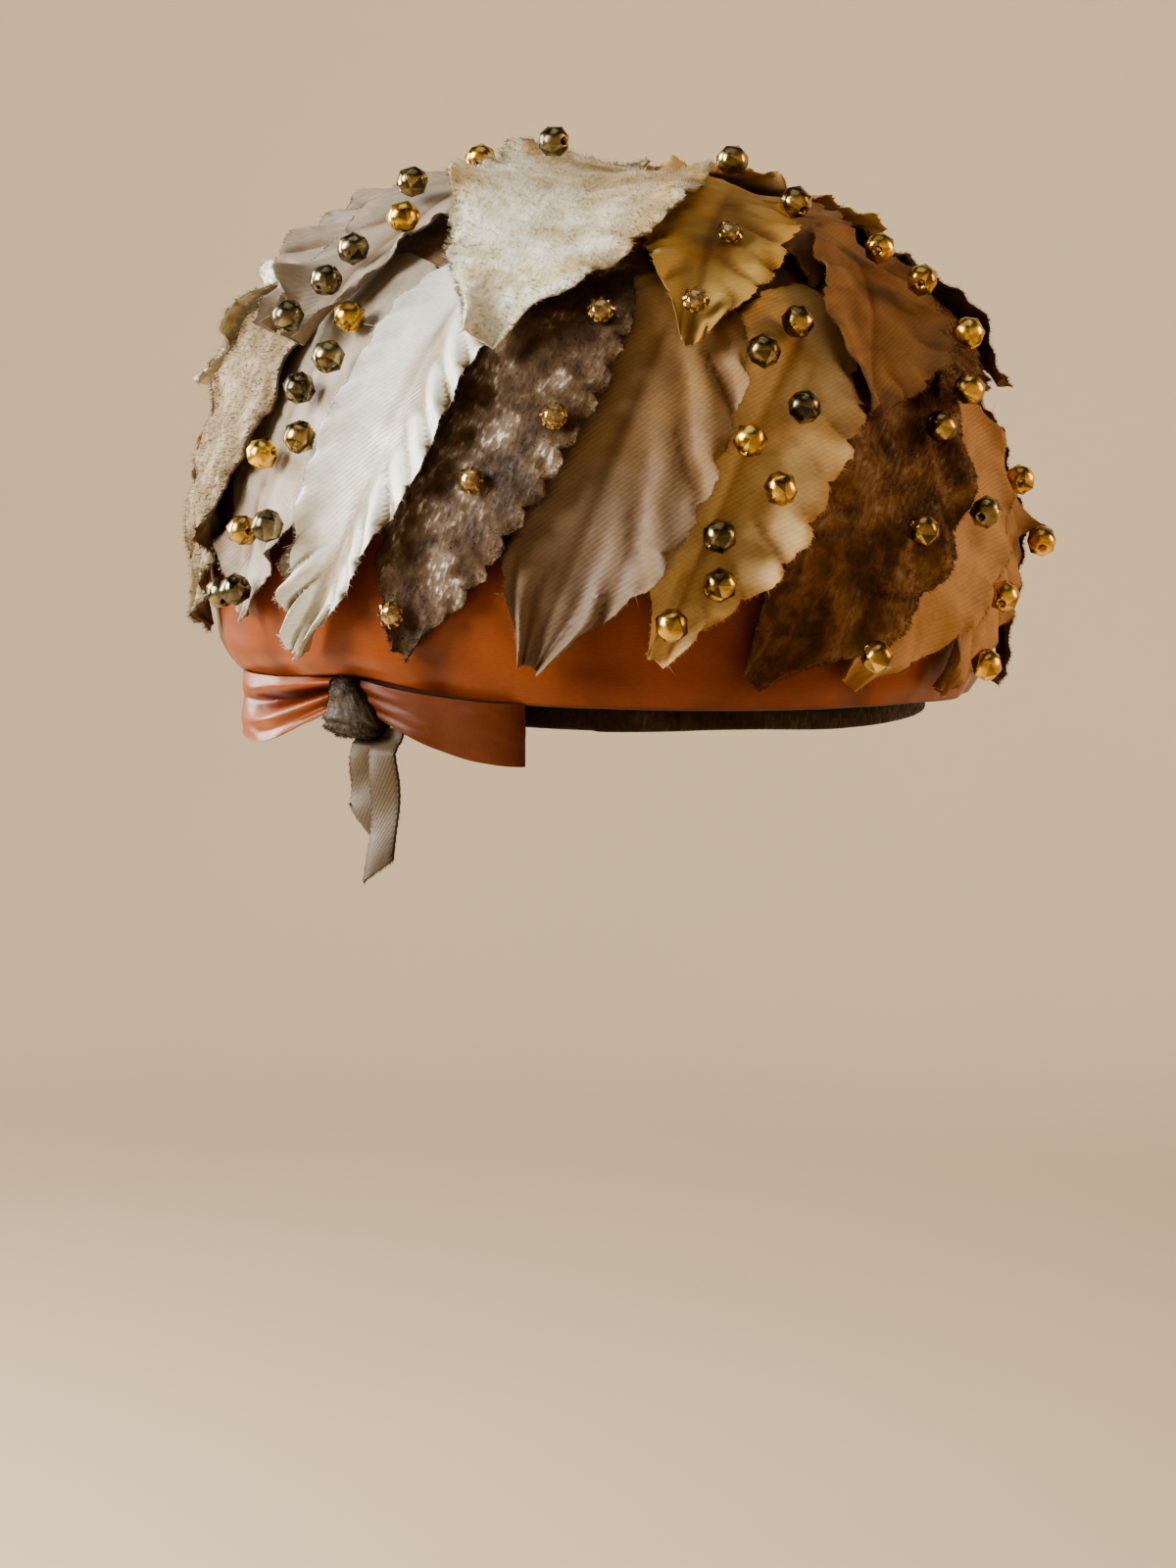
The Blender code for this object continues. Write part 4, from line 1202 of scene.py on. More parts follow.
def leaf_relief(number, cut, u, v, uv):
    """Height of the leaf's own shape: pleats that run from each notch in to the midrib, broad fan
    folds, a groove for the midrib, crushed ripples along the leaf and lifted, fluttering edges."""
    random = np.random.default_rng(SEED + number)
    lobes, grown = lobes_of(cut, u, v)
    phase = lobes * (v + cut.slant * (1 - abs(u)))
    strength = random.uniform(0.4, 1.5, 60)[np.clip(phase.astype(int), 0, 59)]
    ridge = np.sqrt(abs(np.sin(np.pi * phase))) * strength
    pleats = cut.pleat * ridge * eased(abs(u), 0.10, 0.75) * grown
    turn = random.uniform(0, 6.28)
    course = cut.fans * (v + 1.6 * cut.slant * (1 - abs(u))) + 0.15 * np.sign(u)
    stray = 1.2 * noise(number + 60, 3 * u + 5, 3 * v)
    fans = 0.5 + 0.5 * np.sin(2 * np.pi * course + turn + stray)
    fans = cut.fan * fans * eased(abs(u), 0.05, 0.9)
    groove = -0.0005 * np.exp(-((u / 0.07) ** 2)) * (1 - eased(v, 0.85, 1.0))
    across, along = uv[..., 0], uv[..., 1]
    ripples = layered_noise(number * 5, across * 260, along * 70)
    crumple = layered_noise(number * 5 + 90, across * 150, along * 150)
    crushed = cut.crush * (0.7 * abs(ripples) + 0.5 * abs(crumple))
    swell = 0.0007 * (1 + layered_noise(number * 5 + 33, across * 45, along * 45))
    waves = 0.5 + 0.5 * noise(number * 3 + 41, np.sign(u) * 3 + 9, v * 7)
    edges = cut.lift * abs(u) ** 3 * (0.35 + waves)
    flutter = 0.3 * cut.lift * abs(u) ** 4 * np.sin(np.pi * phase * 2)
    return pleats + fans + groove + crushed + swell + edges + flutter


def settled(support, rounds):
    """Cloth let down on what it covers: averaged with its neighbours, never below the support."""
    height = widest(support, 2)
    for _ in range(rounds):
        height = np.maximum(support, blurred(height, 1))
    return height


def make_leaf(number, name, leaf, stack, owner_map, context):
    """One leaf: settled over the cloth under it, raised by its relief where nothing covers it."""
    leaves = context.scene.hat_leaves
    velvet = "velvet" in leaf[0]
    cut = CUTS.get(name, VELVET_CUT if velvet else SATIN_CUT)
    crown = stack.crown
    size = (leaves.stations, leaves.across)
    directions, u, v, uv = leaf_grid(leaf, cut, leaves, crown, *size, number)
    seen = widest((owner_map[stack.place(directions)] == number).astype(float), 1)
    open_share = np.clip(blurred(seen, 4) * 1.3 - 0.15, 0, 1)
    support = stack.top(directions) + leaves.gap
    height = settled(support, 40)
    height = blurred(height, 1) + leaf[-1] * leaves.curl * v**4
    height = np.maximum(height, support)
    relief = np.maximum(leaf_relief(number, cut, u, v, uv), 0) * open_share * eased(v, 0.0, 0.25)
    thickness = leaves.velvet if velvet else leaves.satin
    lower = height + relief
    upper = lower + thickness * (0.55 + 0.45 * (1 - abs(u) ** 8))
    top_points = crown.over(directions, upper)
    mesh = closed_sheet(name, top_points, crown.over(directions, lower), uv)
    tone_base, tone_right, tone_tip, tone_edge = TONES.get(name, PLAIN_TONE)
    border = np.maximum(abs(u) ** 6, eased(v, 0.9, 1.0))
    tone = tone_base + tone_right * (u + 1) / 2 + tone_tip * eased(v, 0.2, 0.95)
    clouds = 0.15 * layered_noise(number + 7, uv[..., 0] * 90, uv[..., 1] * 90)
    tone = np.clip(tone + tone_edge * border + clouds, 0, 1)
    # Painted shade: the fold value falls the deeper a point lies in a hollow of the relief, and the
    # satin finish darkens the leaf there
    hollow = blurred(relief, 14) - relief
    fold = np.clip(0.6 - hollow / 0.0012, 0, 1)
    set_both_sides(mesh, "tone", tone)
    set_both_sides(mesh, "fold", fold)
    piece = add_piece(name + "_fabric", mesh, leaf[0], [name])
    stack.add(resampled(directions, 3), resampled(upper[..., None], 3)[..., 0])
    if velvet:
        shag = SHAG if leaf[0] in SHAGGY_CLOTHS else 1.0
        pile = leaves.pile * shag
        add_pile(name, number, top_points, open_share, leaf[0], pile, crown.centre)
    else:
        add_fray(name, number, top_points, open_share, leaf[0], leaves.fray)


def add_fray(name, number, points, open_share, slot, length):
    """Loose threads along a satin leaf's cut edge: short ones close together and a few long ones."""
    random = np.random.default_rng(SEED + 700 + number)
    rows = len(points)
    count = FRAY_COUNT
    row = random.uniform(1, rows - 1.001, count)
    right = random.uniform(0, 1, count) < 0.5
    end = np.where(right, -1, 0)
    r = row.astype(int)
    shown = open_share[r, end] > 0.5
    r, end, right = r[shown], end[shown], right[shown]
    part = (row[shown] - r)[:, None]
    after = points[np.minimum(r + 1, rows - 1), end]
    roots = points[r, end] * (1 - part) + after * part
    inner = points[r, np.where(right, -2, 1)]
    outward = unit(points[r, end] - inner)
    along = unit(after - points[r - 1, end])
    arms = unit(outward + 0.5 * along + random.normal(0, 0.45, roots.shape))
    spread = np.where(random.uniform(0, 1, len(r)) < 0.04, random.uniform(2, 4, len(r)), 1)
    arms *= (length * spread * random.uniform(0.3, 1.0, len(r)))[:, None]
    add_hairs(name + "_fray", roots, arms, along, FRAY_HAIR, slot, tone=0.3, fold=0.8)


def add_pile(name, number, points, open_share, slot, length, middle):
    """Pile of a velvet leaf: hairs at random places of its uncovered surface, more at the edges,
    leaning towards the tip and away from the middle of the crown."""
    random = np.random.default_rng(SEED + 500 + number)
    rows, columns = points.shape[:2]
    count = PILE_COUNT
    row = random.uniform(0, rows - 1.001, count)
    across = random.uniform(-1, 1, count)
    crowded = random.uniform(0, 1, count) < 0.4
    across = np.where(crowded, np.sign(across) * abs(across) ** 0.08, across)
    column = (across + 1) / 2 * (columns - 1.001)
    r, c = row.astype(int), column.astype(int)
    shown = open_share[r, c] > 0.5
    r, c, row, column = r[shown], c[shown], row[shown], column[shown]
    down, right = (row - r)[:, None], (column - c)[:, None]
    roots = (points[r, c] * (1 - down) + points[r + 1, c] * down) * (1 - right)
    roots = roots + (points[r, c + 1] * (1 - down) + points[r + 1, c + 1] * down) * right
    lean = unit(points[r + 1, c] - points[r, c])
    side = unit(points[r, c + 1] - points[r, c])
    normal = unit(np.cross(lean, side))
    normal = normal * np.sign(np.einsum("ij,ij->i", normal, roots - middle))[:, None]
    outward = np.sign(column / (columns - 1) - 0.5)[:, None]
    near_edge = abs(column / (columns - 1) * 2 - 1)[:, None] ** 6
    arms = normal * 0.7 + lean * 0.5 + side * outward * near_edge
    arms = unit(arms + random.normal(0, 0.35, arms.shape))
    arms *= length * random.uniform(0.5, 1.1, (len(arms), 1))
    roots = roots - normal * 0.0002
    add_hairs(name + "_pile", roots, arms, side, PILE_HAIR, slot, tone=0.2)


class HAT_OT_leaves(bpy.types.Operator):
    """Build the leaves from the lowest layer up, each laid over the ones before it"""

    bl_idname = "hat.leaves"
    bl_label = "Leaves"

    def execute(self, context):
        stack = stack_of_cloth["hat"]
        leaves = context.scene.hat_leaves
        owner_map = np.full(stack.heights.shape, -1)
        for number, (name, leaf) in enumerate(LEAVES.items()):
            plain = SATIN_CUT._replace(depth=0.0)
            directions = leaf_grid(leaf, plain, leaves, stack.crown, 61, 21, 0)[0]
            owner_map[stack.place(unit(resampled(directions, 4)))] = number
        for number, (name, leaf) in enumerate(LEAVES.items()):
            make_leaf(number, name, leaf, stack, owner_map, context)
        return {"FINISHED"}


def beside_headband(turn, stand_off, level):
    """Points outside the headband at ellipse turns in degrees."""
    crown = bpy.context.scene.hat_crown
    angle = np.radians(turn)
    half_width = crown.headband_half_width + stand_off
    half_length = crown.headband_half_length + stand_off
    parts = np.broadcast_arrays(half_width * np.sin(angle), -half_length * np.cos(angle), level)
    return np.stack(parts, axis=-1)


def knot_frame():
    """Centre of the knot with its sideways and outward directions."""
    bow = bpy.context.scene.hat_bow
    band = bpy.context.scene.hat_band
    stand_off = bow.stand_off + bow.depth / 2
    top = band.edge + band.arch * bow.knot_tuck - band.gap
    centre = beside_headband(bow.turn, stand_off, top - bow.knot_height / 2)
    ahead = beside_headband(bow.turn + 1, stand_off, centre[2])
    sideways = unit(ahead - centre)
    return centre, sideways, np.cross(sideways, (0, 0, 1))


def knot_waist(high):
    """How far the knot's right side draws in at a height from -1 to 1, as a share of its width."""
    return 0.40 * (1 - eased(-high, -0.9, 0.6))


def make_wing(name, side, length, context):
    """A wing of the bow. Its course goes out along the front, round the end and back; at each
    place the height spreads up and down, and near the knot the cloth is pinched into folds:
    depth = fold height x (1 - along)^3 x cos of the folds across the height."""
    bow = context.scene.hat_bow
    band = context.scene.hat_band
    crown = context.scene.hat_crown
    start = bow.knot_width / 2 + band.gap
    radius = (crown.headband_half_width + crown.headband_half_length) / 2
    radius = radius + bow.stand_off + bow.depth / 2
    knots = np.arange(len(WING_LOOP), dtype=float)
    places = np.linspace(0, knots[-1], 97)
    along, depth, height = (
        curve_through(places, knots, np.array([row[part] for row in WING_LOOP])) for part in range(3)
    )
    height = height * (1 - WING_BACK * eased(places, 5.5, 8.0))
    turn = bow.turn + side * np.degrees((start + along * (length - bow.knot_width / 2)) / radius)
    middle = beside_headband(turn, bow.stand_off + depth * bow.depth, 0)
    along, depth = along[:, None], depth[:, None]
    across = unit(np.cross(np.gradient(middle, axis=0), (0, 0, 1)))
    t = np.linspace(-1, 1, 25)[None, :]
    front = (places < knots[-1] / 2).astype(float)[:, None]
    pinch = (1 - along) ** 3
    folds = WING_FOLDS[side] * pinch * np.cos(np.pi * 2.5 * (t + 0.15)) * front
    if side < 0:
        for rise, place, reach, high, spread in WING_DENTS:
            dent = np.exp(-(((along - place) / reach) ** 2) - ((t - high) / spread) ** 2)
            folds = folds + rise * dent * front
    ease = 0.0005 * layered_noise(31 + side, along * 3, t * 2 + 5)
    level = band.edge - band.gap - (1 - t) * height[:, None] * bow.height / 2
    level = level + WING_RISE * (1 - along) ** 2
    if side < 0:
        level = level - WING_DIP * np.sin(np.pi * along) * (1 - t) / 2 * (0.2 + 0.8 * front)
    facing = np.sign(np.einsum("ij,ij->i", across, middle * (1, 1, 0)))[:, None]
    push = (folds + ease * front)[..., None] * (across * facing)[:, None]
    surface = middle[:, None] + push + np.array((0, 0, 1)) * level[..., None]
    if side > 0:
        centre, sideways, _ = knot_frame()
        high = (level - centre[2]) / (bow.knot_height / 2)
        tuck = bow.knot_width * (0.08 + knot_waist(high)) * (1 - along) ** 2
        surface = surface - tuck[..., None] * sideways
        lean = WING_LEAN * (1 - t) / 2 * depth * eased(along, 0.1, 0.5)
        surface = surface - lean[..., None] * unit(middle)[:, None]
    upper = surface + across[:, None] * bow.wall / 2
    lower = surface - across[:, None] * bow.wall / 2
    steps = np.concatenate(((0,), np.cumsum(np.linalg.norm(np.diff(middle, axis=0), axis=-1))))
    uv = np.stack(np.broadcast_arrays(t * bow.height / 2, steps[:, None]), axis=-1)
    mesh = closed_sheet(name, upper, lower, uv)
    # Painted shade: the fold value drops in the dents and between the folds, where the satin finish
    # darkens the wing
    fold = 0.55 + folds / 0.003
    set_both_sides(mesh, "fold", fold)
    # Painted shade: the right wing takes the darker second colour all over, as it faces away from the
    # light
    set_attribute(mesh, "tone", np.full(len(mesh.vertices), 0.0 if side < 0 else 1.0))
    piece = add_piece(name + "_satin", mesh, "copper_satin", [name])


def make_knot(context):
    """The knot: a rounded block |x/a|^p + |y/b|^p + |z/c|^p = 1 with an upright left side, spread
    to the right lower down, where crushed folds curl round it."""
    bow = context.scene.hat_bow
    centre, sideways, outward = knot_frame()
    tilt = np.linspace(-np.pi / 2 + 0.02, np.pi / 2 - 0.02, 49)[:, None]
    turn = np.linspace(0, 2 * np.pi, 72, endpoint=False)[None, :]
    power = 2 / bow.knot_fullness

    def rounded(value):
        return np.sign(value) * abs(value) ** power

    wide = rounded(np.cos(turn)) * rounded(np.cos(tilt))
    deep = rounded(np.sin(turn)) * rounded(np.cos(tilt))
    high = rounded(np.sin(tilt)) + 0 * turn
    low = eased(-high, -0.2, 0.5)
    curl = high + 0.30 * (wide + 0.4) ** 2
    folds = KNOT_FOLD * np.sqrt(abs(np.sin(np.pi * 2.6 * (curl + 0.1))))
    folds = folds * eased(deep, -0.2, 0.6) * low
    crushed = KNOT_CRUSH * layered_noise(77, wide * 6 + 9, high * 6 + 9)
    grow = folds + crushed - KNOT_FOLD / 2
    spread = 1 - knot_waist(high)
    across = (wide * spread - (1 - spread)) * bow.knot_width / 2
    body = centre + (across * (1 + grow / 0.009))[..., None] * sideways
    body = body + (deep * (bow.knot_depth / 2 + grow))[..., None] * outward
    body = body + (high * bow.knot_height / 2)[..., None] * np.array((0, 0, 1))
    rows, columns = body.shape[:2]
    row, column, squares = ring_lattice(rows, columns, False)
    triangles = pole_fans(rows, columns)
    poles = body[[0, -1]].mean(axis=1)
    points = np.concatenate((body.reshape(-1, 3), poles))
    mesh = fill_mesh("bow_knot", points, squares, triangles=triangles)
    map_squares(mesh, column * KNOT_STEP[0], row * KNOT_STEP[1], triangles)
    # Painted shade: the lower knot takes the darker second colour, except on the ridges of its folds
    tone = np.clip(0.1 + low * (0.9 - folds / 0.0013), 0, 1)
    set_attribute(mesh, "tone", np.append(tone.ravel(), (0.3, 0.3)))
    piece = add_piece("bow_knot_wrap", mesh, "olive_velvet", ["bow_knot"])
    random = np.random.default_rng(SEED + 900)
    pick = random.integers(0, rows * columns, KNOT_PILE_COUNT)
    roots = points[pick]
    arms = unit(unit(roots - centre) + random.normal(0, 0.4, roots.shape)) * KNOT_PILE
    side = np.roll(arms, 1, axis=-1)
    add_hairs("bow_knot_pile", roots, arms, side, FINE_HAIR, "olive_velvet", tone=0.2)


def make_tail(name, length, context):
    """A ribbon end: its middle line hangs through the table's places, its width lies sideways,
    its edges are nicked by the weave and its cut end slants."""
    bow = context.scene.hat_bow
    band = context.scene.hat_band
    centre, sideways, outward = knot_frame()
    top = centre[2] - bow.knot_height / 2 - band.gap
    drop = np.linspace(-0.12, 1, 61)[:, None]
    u = np.linspace(-1, 1, 15)[None, :]
    hang = TAIL_HANGS[name]
    below = np.maximum(drop, 0)
    shift = table_curve(below, hang, 1) * bow.tail_width
    out = table_curve(below, hang, 2) - 0.5 - 0.30 * eased(-drop, -0.08, 0.06)
    out = out * bow.tail_width
    nick = 1 - 0.05 * abs(u) ** 6 * (0.5 + 0.5 * np.sin(drop * length / RIBBON_NICKS * np.pi))
    cup = 0.0005 * (1 - u**2) + 0.0005 * np.sin(drop * 9 + u)
    slant = u * TAIL_SLANTS[name] * bow.tail_width / 2 * eased(drop, 0.75, 1.0)
    level = top - drop * length + slant
    front = np.array((centre[0], centre[1], 0.0)) + 0 * level[..., None]
    front = front + (shift + u * nick * bow.tail_width / 2)[..., None] * sideways
    front = front + (out + cup)[..., None] * outward + level[..., None] * np.array((0, 0, 1))
    uv = np.stack(np.broadcast_arrays(u * bow.tail_width / 2, drop * length), axis=-1)
    mesh = closed_sheet(name, front, front - bow.tail_wall * outward, uv)
    stitch = 0.5 + 0.5 * np.sin(2 * np.pi * (drop * length / RIBBON_STITCHES + 0.4 * u))
    tone = np.clip(0.05 + 0.9 * eased(abs(u), 0.70, 0.92) * stitch, 0, 1)
    set_both_sides(mesh, "tone", tone)
    set_attribute(mesh, "fold", np.full(len(mesh.vertices), 0.6))
    piece = add_piece(name + "_ribbon", mesh, "ribbon_velvet", [name])
    # The sheet tool takes no width under 10 mm
    random = np.random.default_rng(SEED + 950 + len(name))
    count = FRINGE_COUNT
    along = random.uniform(0.02, 1, count)
    at_side = random.uniform(0, 1, count) < 0.75
    side = np.sign(random.uniform(-1, 1, count))
    edge = np.where(at_side, side, random.uniform(-1, 1, count))
    along = np.where(abs(edge) < 1, 1.0, along)
    row = np.rint(along * 60).astype(int)
    column = np.rint((edge + 1) / 2 * 14).astype(int)
    roots = front[row, column] - outward * bow.tail_wall / 2
    end = (along == 1.0)[:, None]
    arms = edge[:, None] * sideways + np.array((0, 0, -0.6))
    arms = np.where(end, np.array((0, 0, -1.0)), arms)
    arms = unit(arms + random.normal(0, 0.3, arms.shape))
    arms = arms * random.uniform(0.4, 1.0, (count, 1)) * RIBBON_FRINGE
    side = outward + 0 * arms
    add_hairs(name + "_fringe", roots, arms, side, FINE_HAIR, "ribbon_velvet", tone=0.3, fold=0.6)


class HAT_OT_bow(bpy.types.Operator):
    """Build the bow: two satin wings, the velvet knot and two ribbon tails"""

    bl_idname = "hat.bow"
    bl_label = "Bow"

    def execute(self, context):
        bow = context.scene.hat_bow
        make_wing("bow_wing_left", -1, bow.length_left, context)
        make_wing("bow_wing_right", 1, bow.length_right, context)
        make_knot(context)
        make_tail("tail_front", bow.tail_front, context)
        make_tail("tail_back", bow.tail_back, context)
        return {"FINISHED"}


def resting_height(stack, arm, radius):
    """Height at which something of a given radius clears the cloth round a direction."""
    turns = np.radians(np.arange(0, 360, 30))
    side = unit(np.cross(arm, (0, 0, 1)))
    other = np.cross(arm, side)
    spread = [arm]
    for part in (0.5, 1.0):
        angle = part * radius / stack.crown.half_width
        ring = np.cos(turns)[:, None] * side + np.sin(turns)[:, None] * other
        spread.extend(np.cos(angle) * arm + np.sin(angle) * ring)
    return stack.top(np.array(spread)).max()


def turned_profile(profile, centre, axis, side, radius, length, sides):
    """A profile turned about an axis with each ring a half facet on from the last."""
    other = np.cross(axis, side)
    rings = []
    for number, (along, wide) in enumerate(profile):
        angles = 2 * np.pi * (np.arange(sides) + 0.5 * (number % 2)) / sides
        circle = np.cos(angles)[:, None] * side + np.sin(angles)[:, None] * other
        rings.append(centre + along * length * axis + wide * radius * circle)
    return np.array(rings)


def staggered_faces(rows, sides):
    """Triangles between rings whose points lie half a facet apart."""
    triangles = []
    here = np.arange(sides)
    ahead = np.roll(here, -1)
    for number in range(rows - 1):
        near = number * sides
        far = near + sides
        if number % 2 == 0:
            triangles.append(np.stack((near + here, near + ahead, far + here), axis=-1))
            triangles.append(np.stack((near + ahead, far + ahead, far + here), axis=-1))
        else:
            triangles.append(np.stack((near + here, far + ahead, far + here), axis=-1))
            triangles.append(np.stack((near + here, near + ahead, far + ahead), axis=-1))
    return np.concatenate(triangles)


def bead_faces(sides):
    """Triangles of a bead: its staggered rings, and the bore from its last ring to its first."""
    here = np.arange(sides)
    ahead = np.roll(here, -1)
    last = (len(BEAD_PROFILE) - 1) * sides
    near = np.stack((last + here, last + ahead, here), axis=-1)
    far = np.stack((last + ahead, ahead, here), axis=-1)
    return np.concatenate((staggered_faces(len(BEAD_PROFILE), sides), near, far))


class HAT_OT_beads(bpy.types.Operator):
    """Build the rows of faceted beads, each bead sewn down on its leaf"""

    bl_idname = "hat.beads"
    bl_label = "Beads"

    def execute(self, context):
        stack = stack_of_cloth["hat"]
        beads = context.scene.hat_beads
        radius = beads.bead / 2
        faces = bead_faces(beads.sides)
        for row_number, (name, places) in enumerate(BEAD_ROWS.items()):
            random = np.random.default_rng(SEED + 100 + row_number)
            points, triangles, tones = [], [], []
            for turn, drop, gold in places:
                arm = direction(turn, drop)
                centre = stack.crown.over(arm, resting_height(stack, arm, radius) + radius * 0.93)
                side = unit(np.cross(arm, (0, 0, 1)))
                spin = random.uniform(0, np.pi)
                axis = unit(np.cos(spin) * side + np.sin(spin) * np.cross(arm, side) + 0.2 * arm)
                across = unit(np.cross(axis, arm))
                placed = (centre, axis, across, radius, radius)
                rings = turned_profile(BEAD_PROFILE, *placed, beads.sides)
                triangles.append(faces + sum(len(part) for part in points))
                points.append(rings.reshape(-1, 3))
                tones.append(np.full(len(points[-1]), gold))
            points = np.concatenate(points)
            triangles = np.concatenate(triangles)
            mesh = fill_mesh(name, points, np.zeros((0, 4)), triangles=triangles, sharp=0)
            set_attribute(mesh, "tone", np.concatenate(tones))
            # Painted reflections: a random brightness on each facet
            set_painted_facet_reflections(mesh, random, 0.20, 1.70)
            add_piece(name + "_sewn", mesh, "bead_metal", [name])
        return {"FINISHED"}


class HAT_OT_stones(bpy.types.Operator):
    """Build the stones: a cut stone in a flared cup with claws bent over its edge"""

    bl_idname = "hat.stones"
    bl_label = "Stones"

    def execute(self, context):
        stack = stack_of_cloth["hat"]
        beads = context.scene.hat_beads
        radius = beads.stone / 2
        for number, place in enumerate(STONES, 1):
            name = f"stone_{number}"
            arm = direction(*place)
            base = stack.crown.over(arm, resting_height(stack, arm, radius * 0.8))
            side = unit(np.cross(arm, (0, 0, 1)))
            height = beads.stone_height
            placed = (base, arm, side, radius, height)
            rings = turned_profile(STONE_PROFILE, *placed, STONE_SIDES)
            rows = len(STONE_PROFILE)
            faces = (staggered_faces(rows, STONE_SIDES), pole_fans(rows, STONE_SIDES))
            points = np.concatenate((rings.reshape(-1, 3), rings[[0, -1]].mean(axis=1)))
            triangles = np.concatenate(faces)
            mesh = fill_mesh(name, points, np.zeros((0, 4)), triangles=triangles, sharp=0)
            random = np.random.default_rng(SEED + 200 + number)
            # Painted reflections: a random tone for each point picks a bright or a dark facet colour
            set_attribute(mesh, "tone", random.uniform(0, 1, len(points)))
            add_piece(name + "_cut", mesh, "topaz_stone", [name])
            self.add_claws(name, base, arm, side, radius, height, beads.claws)
        return {"FINISHED"}

    def add_claws(self, name, base, arm, side, radius, height, claws):
        """Cup and claws: a strip whose outer edge waves in and out over the stone's girdle."""
        angles = np.linspace(0, 2 * np.pi, claws * 8, endpoint=False)
        circle = np.cos(angles)[:, None] * side + np.sin(angles)[:, None] * np.cross(arm, side)
        claw = eased(np.cos(angles * claws), 0.0, 0.7)[:, None]
        rings = []
        for low_wide, low_lift, high_wide, high_lift in CLAW_PROFILE:
            wide = low_wide + (high_wide - low_wide) * claw
            lift = low_lift + (high_lift - low_lift) * claw
            rings.append(base + wide * radius * circle + lift * height * arm)
        inner = [ring * 0.9 + (base + arm * height * 0.3) * 0.1 for ring in reversed(rings)]
        rings = np.array(rings + inner)
        squares = ring_lattice(*rings.shape[:2], True)[2]
        mesh = fill_mesh(name + "_claws", rings, squares, sharp=50)
        set_attribute(mesh, "tone", np.full(len(mesh.vertices), 0.55))
        # Painted reflections: a random brightness on each facet
        set_painted_facet_reflections(mesh, np.random.default_rng(SEED), 0.8, 1.1)
        add_piece(name + "_claws", mesh, "bead_metal")


def looking(right, up, back, place):
    """Matrix of a light or camera at a place, from its three directions."""
    matrix = np.eye(4)
    matrix[:3] = np.stack((right, up, back, place), axis=-1)
    return Matrix(matrix.tolist())


def add_light(name, place, aim, energy, size, tint):
    """A soft area light that looks at a point."""
    data = bpy.data.lights.new(name, "AREA")
    data.shape = "RECTANGLE"
    data.size, data.size_y = size
    data.energy = energy
    data.color = tint
    light = bpy.data.objects.new(name, data)
    bpy.context.scene.collection.objects.link(light)
    back = unit(np.array(place, float) - np.array(aim, float))
    right = unit(np.cross((0, 0, 1), back))
    light.matrix_world = looking(right, np.cross(back, right), back, place)


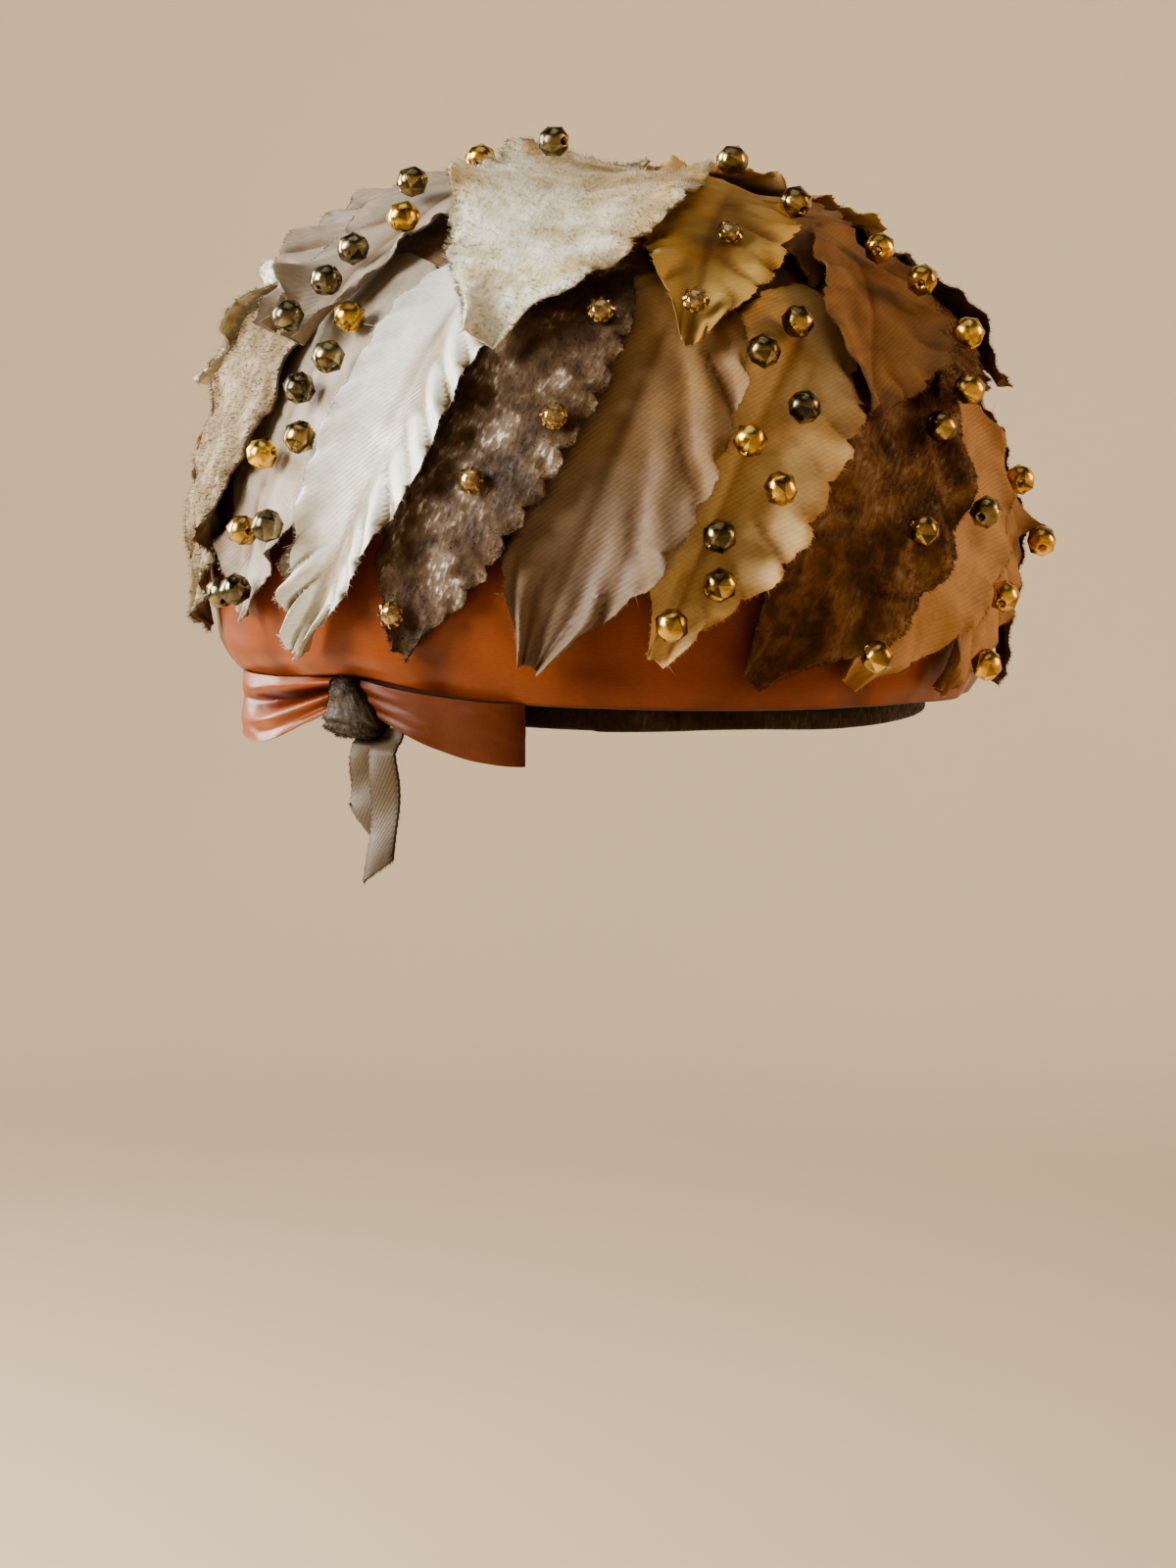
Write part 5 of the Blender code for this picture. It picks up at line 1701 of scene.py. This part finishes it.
class HAT_OT_stage(bpy.types.Operator):
    """Build the pale bowl-shaped floor, the soft lights and the camera"""

    bl_idname = "hat.stage"
    bl_label = "Stage"

    def execute(self, context):
        stage = context.scene.hat_stage
        run = np.linspace(0, 1, 40)
        radius = stage.radius * np.sin(run * np.pi / 2) ** 0.8 + 0.001
        level = stage.floor + 2.6 * eased(run, 0.35, 1.0) ** 1.5
        bowl = ring_points(radius[:, None], radius[:, None], level[:, None], 64)
        shell = bowl * (1.02, 1.02, 1) - (0, 0, 0.02)
        rings = np.concatenate((bowl, shell[::-1]))
        mesh = fill_mesh("stage_floor", rings, ring_lattice(*rings.shape[:2], True)[2])
        mesh.materials.append(finish("backdrop"))
        floor = bpy.data.objects.new("stage_floor", mesh)
        context.scene.collection.objects.link(floor)
        world = bpy.data.worlds.new("studio")
        context.scene.world = world
        world.use_nodes = True
        background = world.node_tree.nodes["Background"]
        background.inputs["Color"].default_value = WORLD_TINT
        background.inputs["Strength"].default_value = stage.world
        for name, (place, aim, size, tint) in LIGHTS.items():
            add_light(name, place, aim, getattr(stage, name), size, tint)
        context.scene.view_settings.look = "AgX - Medium High Contrast"
        self.add_camera(context)
        return {"FINISHED"}

    def add_camera(self, context):
        """The camera stands in front at the crown's height, tilted down and rolled a little."""
        data = bpy.data.cameras.new("camera")
        data.lens = CAMERA_LENS
        data.sensor_width = CAMERA_SENSOR
        pitch = np.radians(CAMERA_PITCH)
        roll = np.radians(CAMERA_ROLL)
        forward = np.array((0, np.cos(pitch), np.sin(pitch)))
        level = np.array((1.0, 0, 0))
        upward = np.cross(level, forward)
        right = np.cos(roll) * level + np.sin(roll) * upward
        up = np.cos(roll) * upward - np.sin(roll) * level
        camera = bpy.data.objects.new("camera", data)
        context.scene.collection.objects.link(camera)
        camera.matrix_world = looking(right, up, -forward, CAMERA_PLACE)
        context.scene.camera = camera


class HAT_PT_panel(bpy.types.Panel):
    """The hat's pieces and sizes in the 3D view's sidebar"""

    bl_idname = "HAT_PT_panel"
    bl_label = "Leaf Pillbox Hat"
    bl_space_type = "VIEW_3D"
    bl_region_type = "UI"
    bl_category = "Hat"

    def draw(self, context):
        for operator in OPERATORS:
            self.layout.operator(operator.bl_idname)
        for name in SETTINGS:
            box = self.layout.box()
            group = getattr(context.scene, name)
            for key in group.__annotations__:
                box.prop(group, key)


SETTINGS = {
    "hat_crown": HatCrownSettings,
    "hat_band": HatBandSettings,
    "hat_bow": HatBowSettings,
    "hat_leaves": HatLeafSettings,
    "hat_beads": HatBeadSettings,
    "hat_stage": HatStageSettings,
}
OPERATORS = (
    HAT_OT_headband,
    HAT_OT_crown,
    HAT_OT_satin_band,
    HAT_OT_bow,
    HAT_OT_leaves,
    HAT_OT_beads,
    HAT_OT_stones,
    HAT_OT_stage,
)


def register():
    """Make the settings, operators and panel known to Blender."""
    for name, group in SETTINGS.items():
        bpy.utils.register_class(group)
        setattr(bpy.types.Scene, name, PointerProperty(type=group))
    for operator in OPERATORS:
        bpy.utils.register_class(operator)
    bpy.utils.register_class(HAT_PT_panel)


def unregister():
    """Take the panel, operators and settings away again."""
    bpy.utils.unregister_class(HAT_PT_panel)
    for operator in reversed(OPERATORS):
        bpy.utils.unregister_class(operator)
    for name, group in reversed(SETTINGS.items()):
        delattr(bpy.types.Scene, name)
        bpy.utils.unregister_class(group)


def main():
    """Build every piece in order."""
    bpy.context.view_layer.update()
    register()
    bpy.ops.hat.headband()
    bpy.ops.hat.crown()
    bpy.ops.hat.satin_band()
    bpy.ops.hat.bow()
    bpy.ops.hat.leaves()
    bpy.ops.hat.beads()
    bpy.ops.hat.stones()
    bpy.ops.hat.stage()


if __name__ == "__main__":
    main()
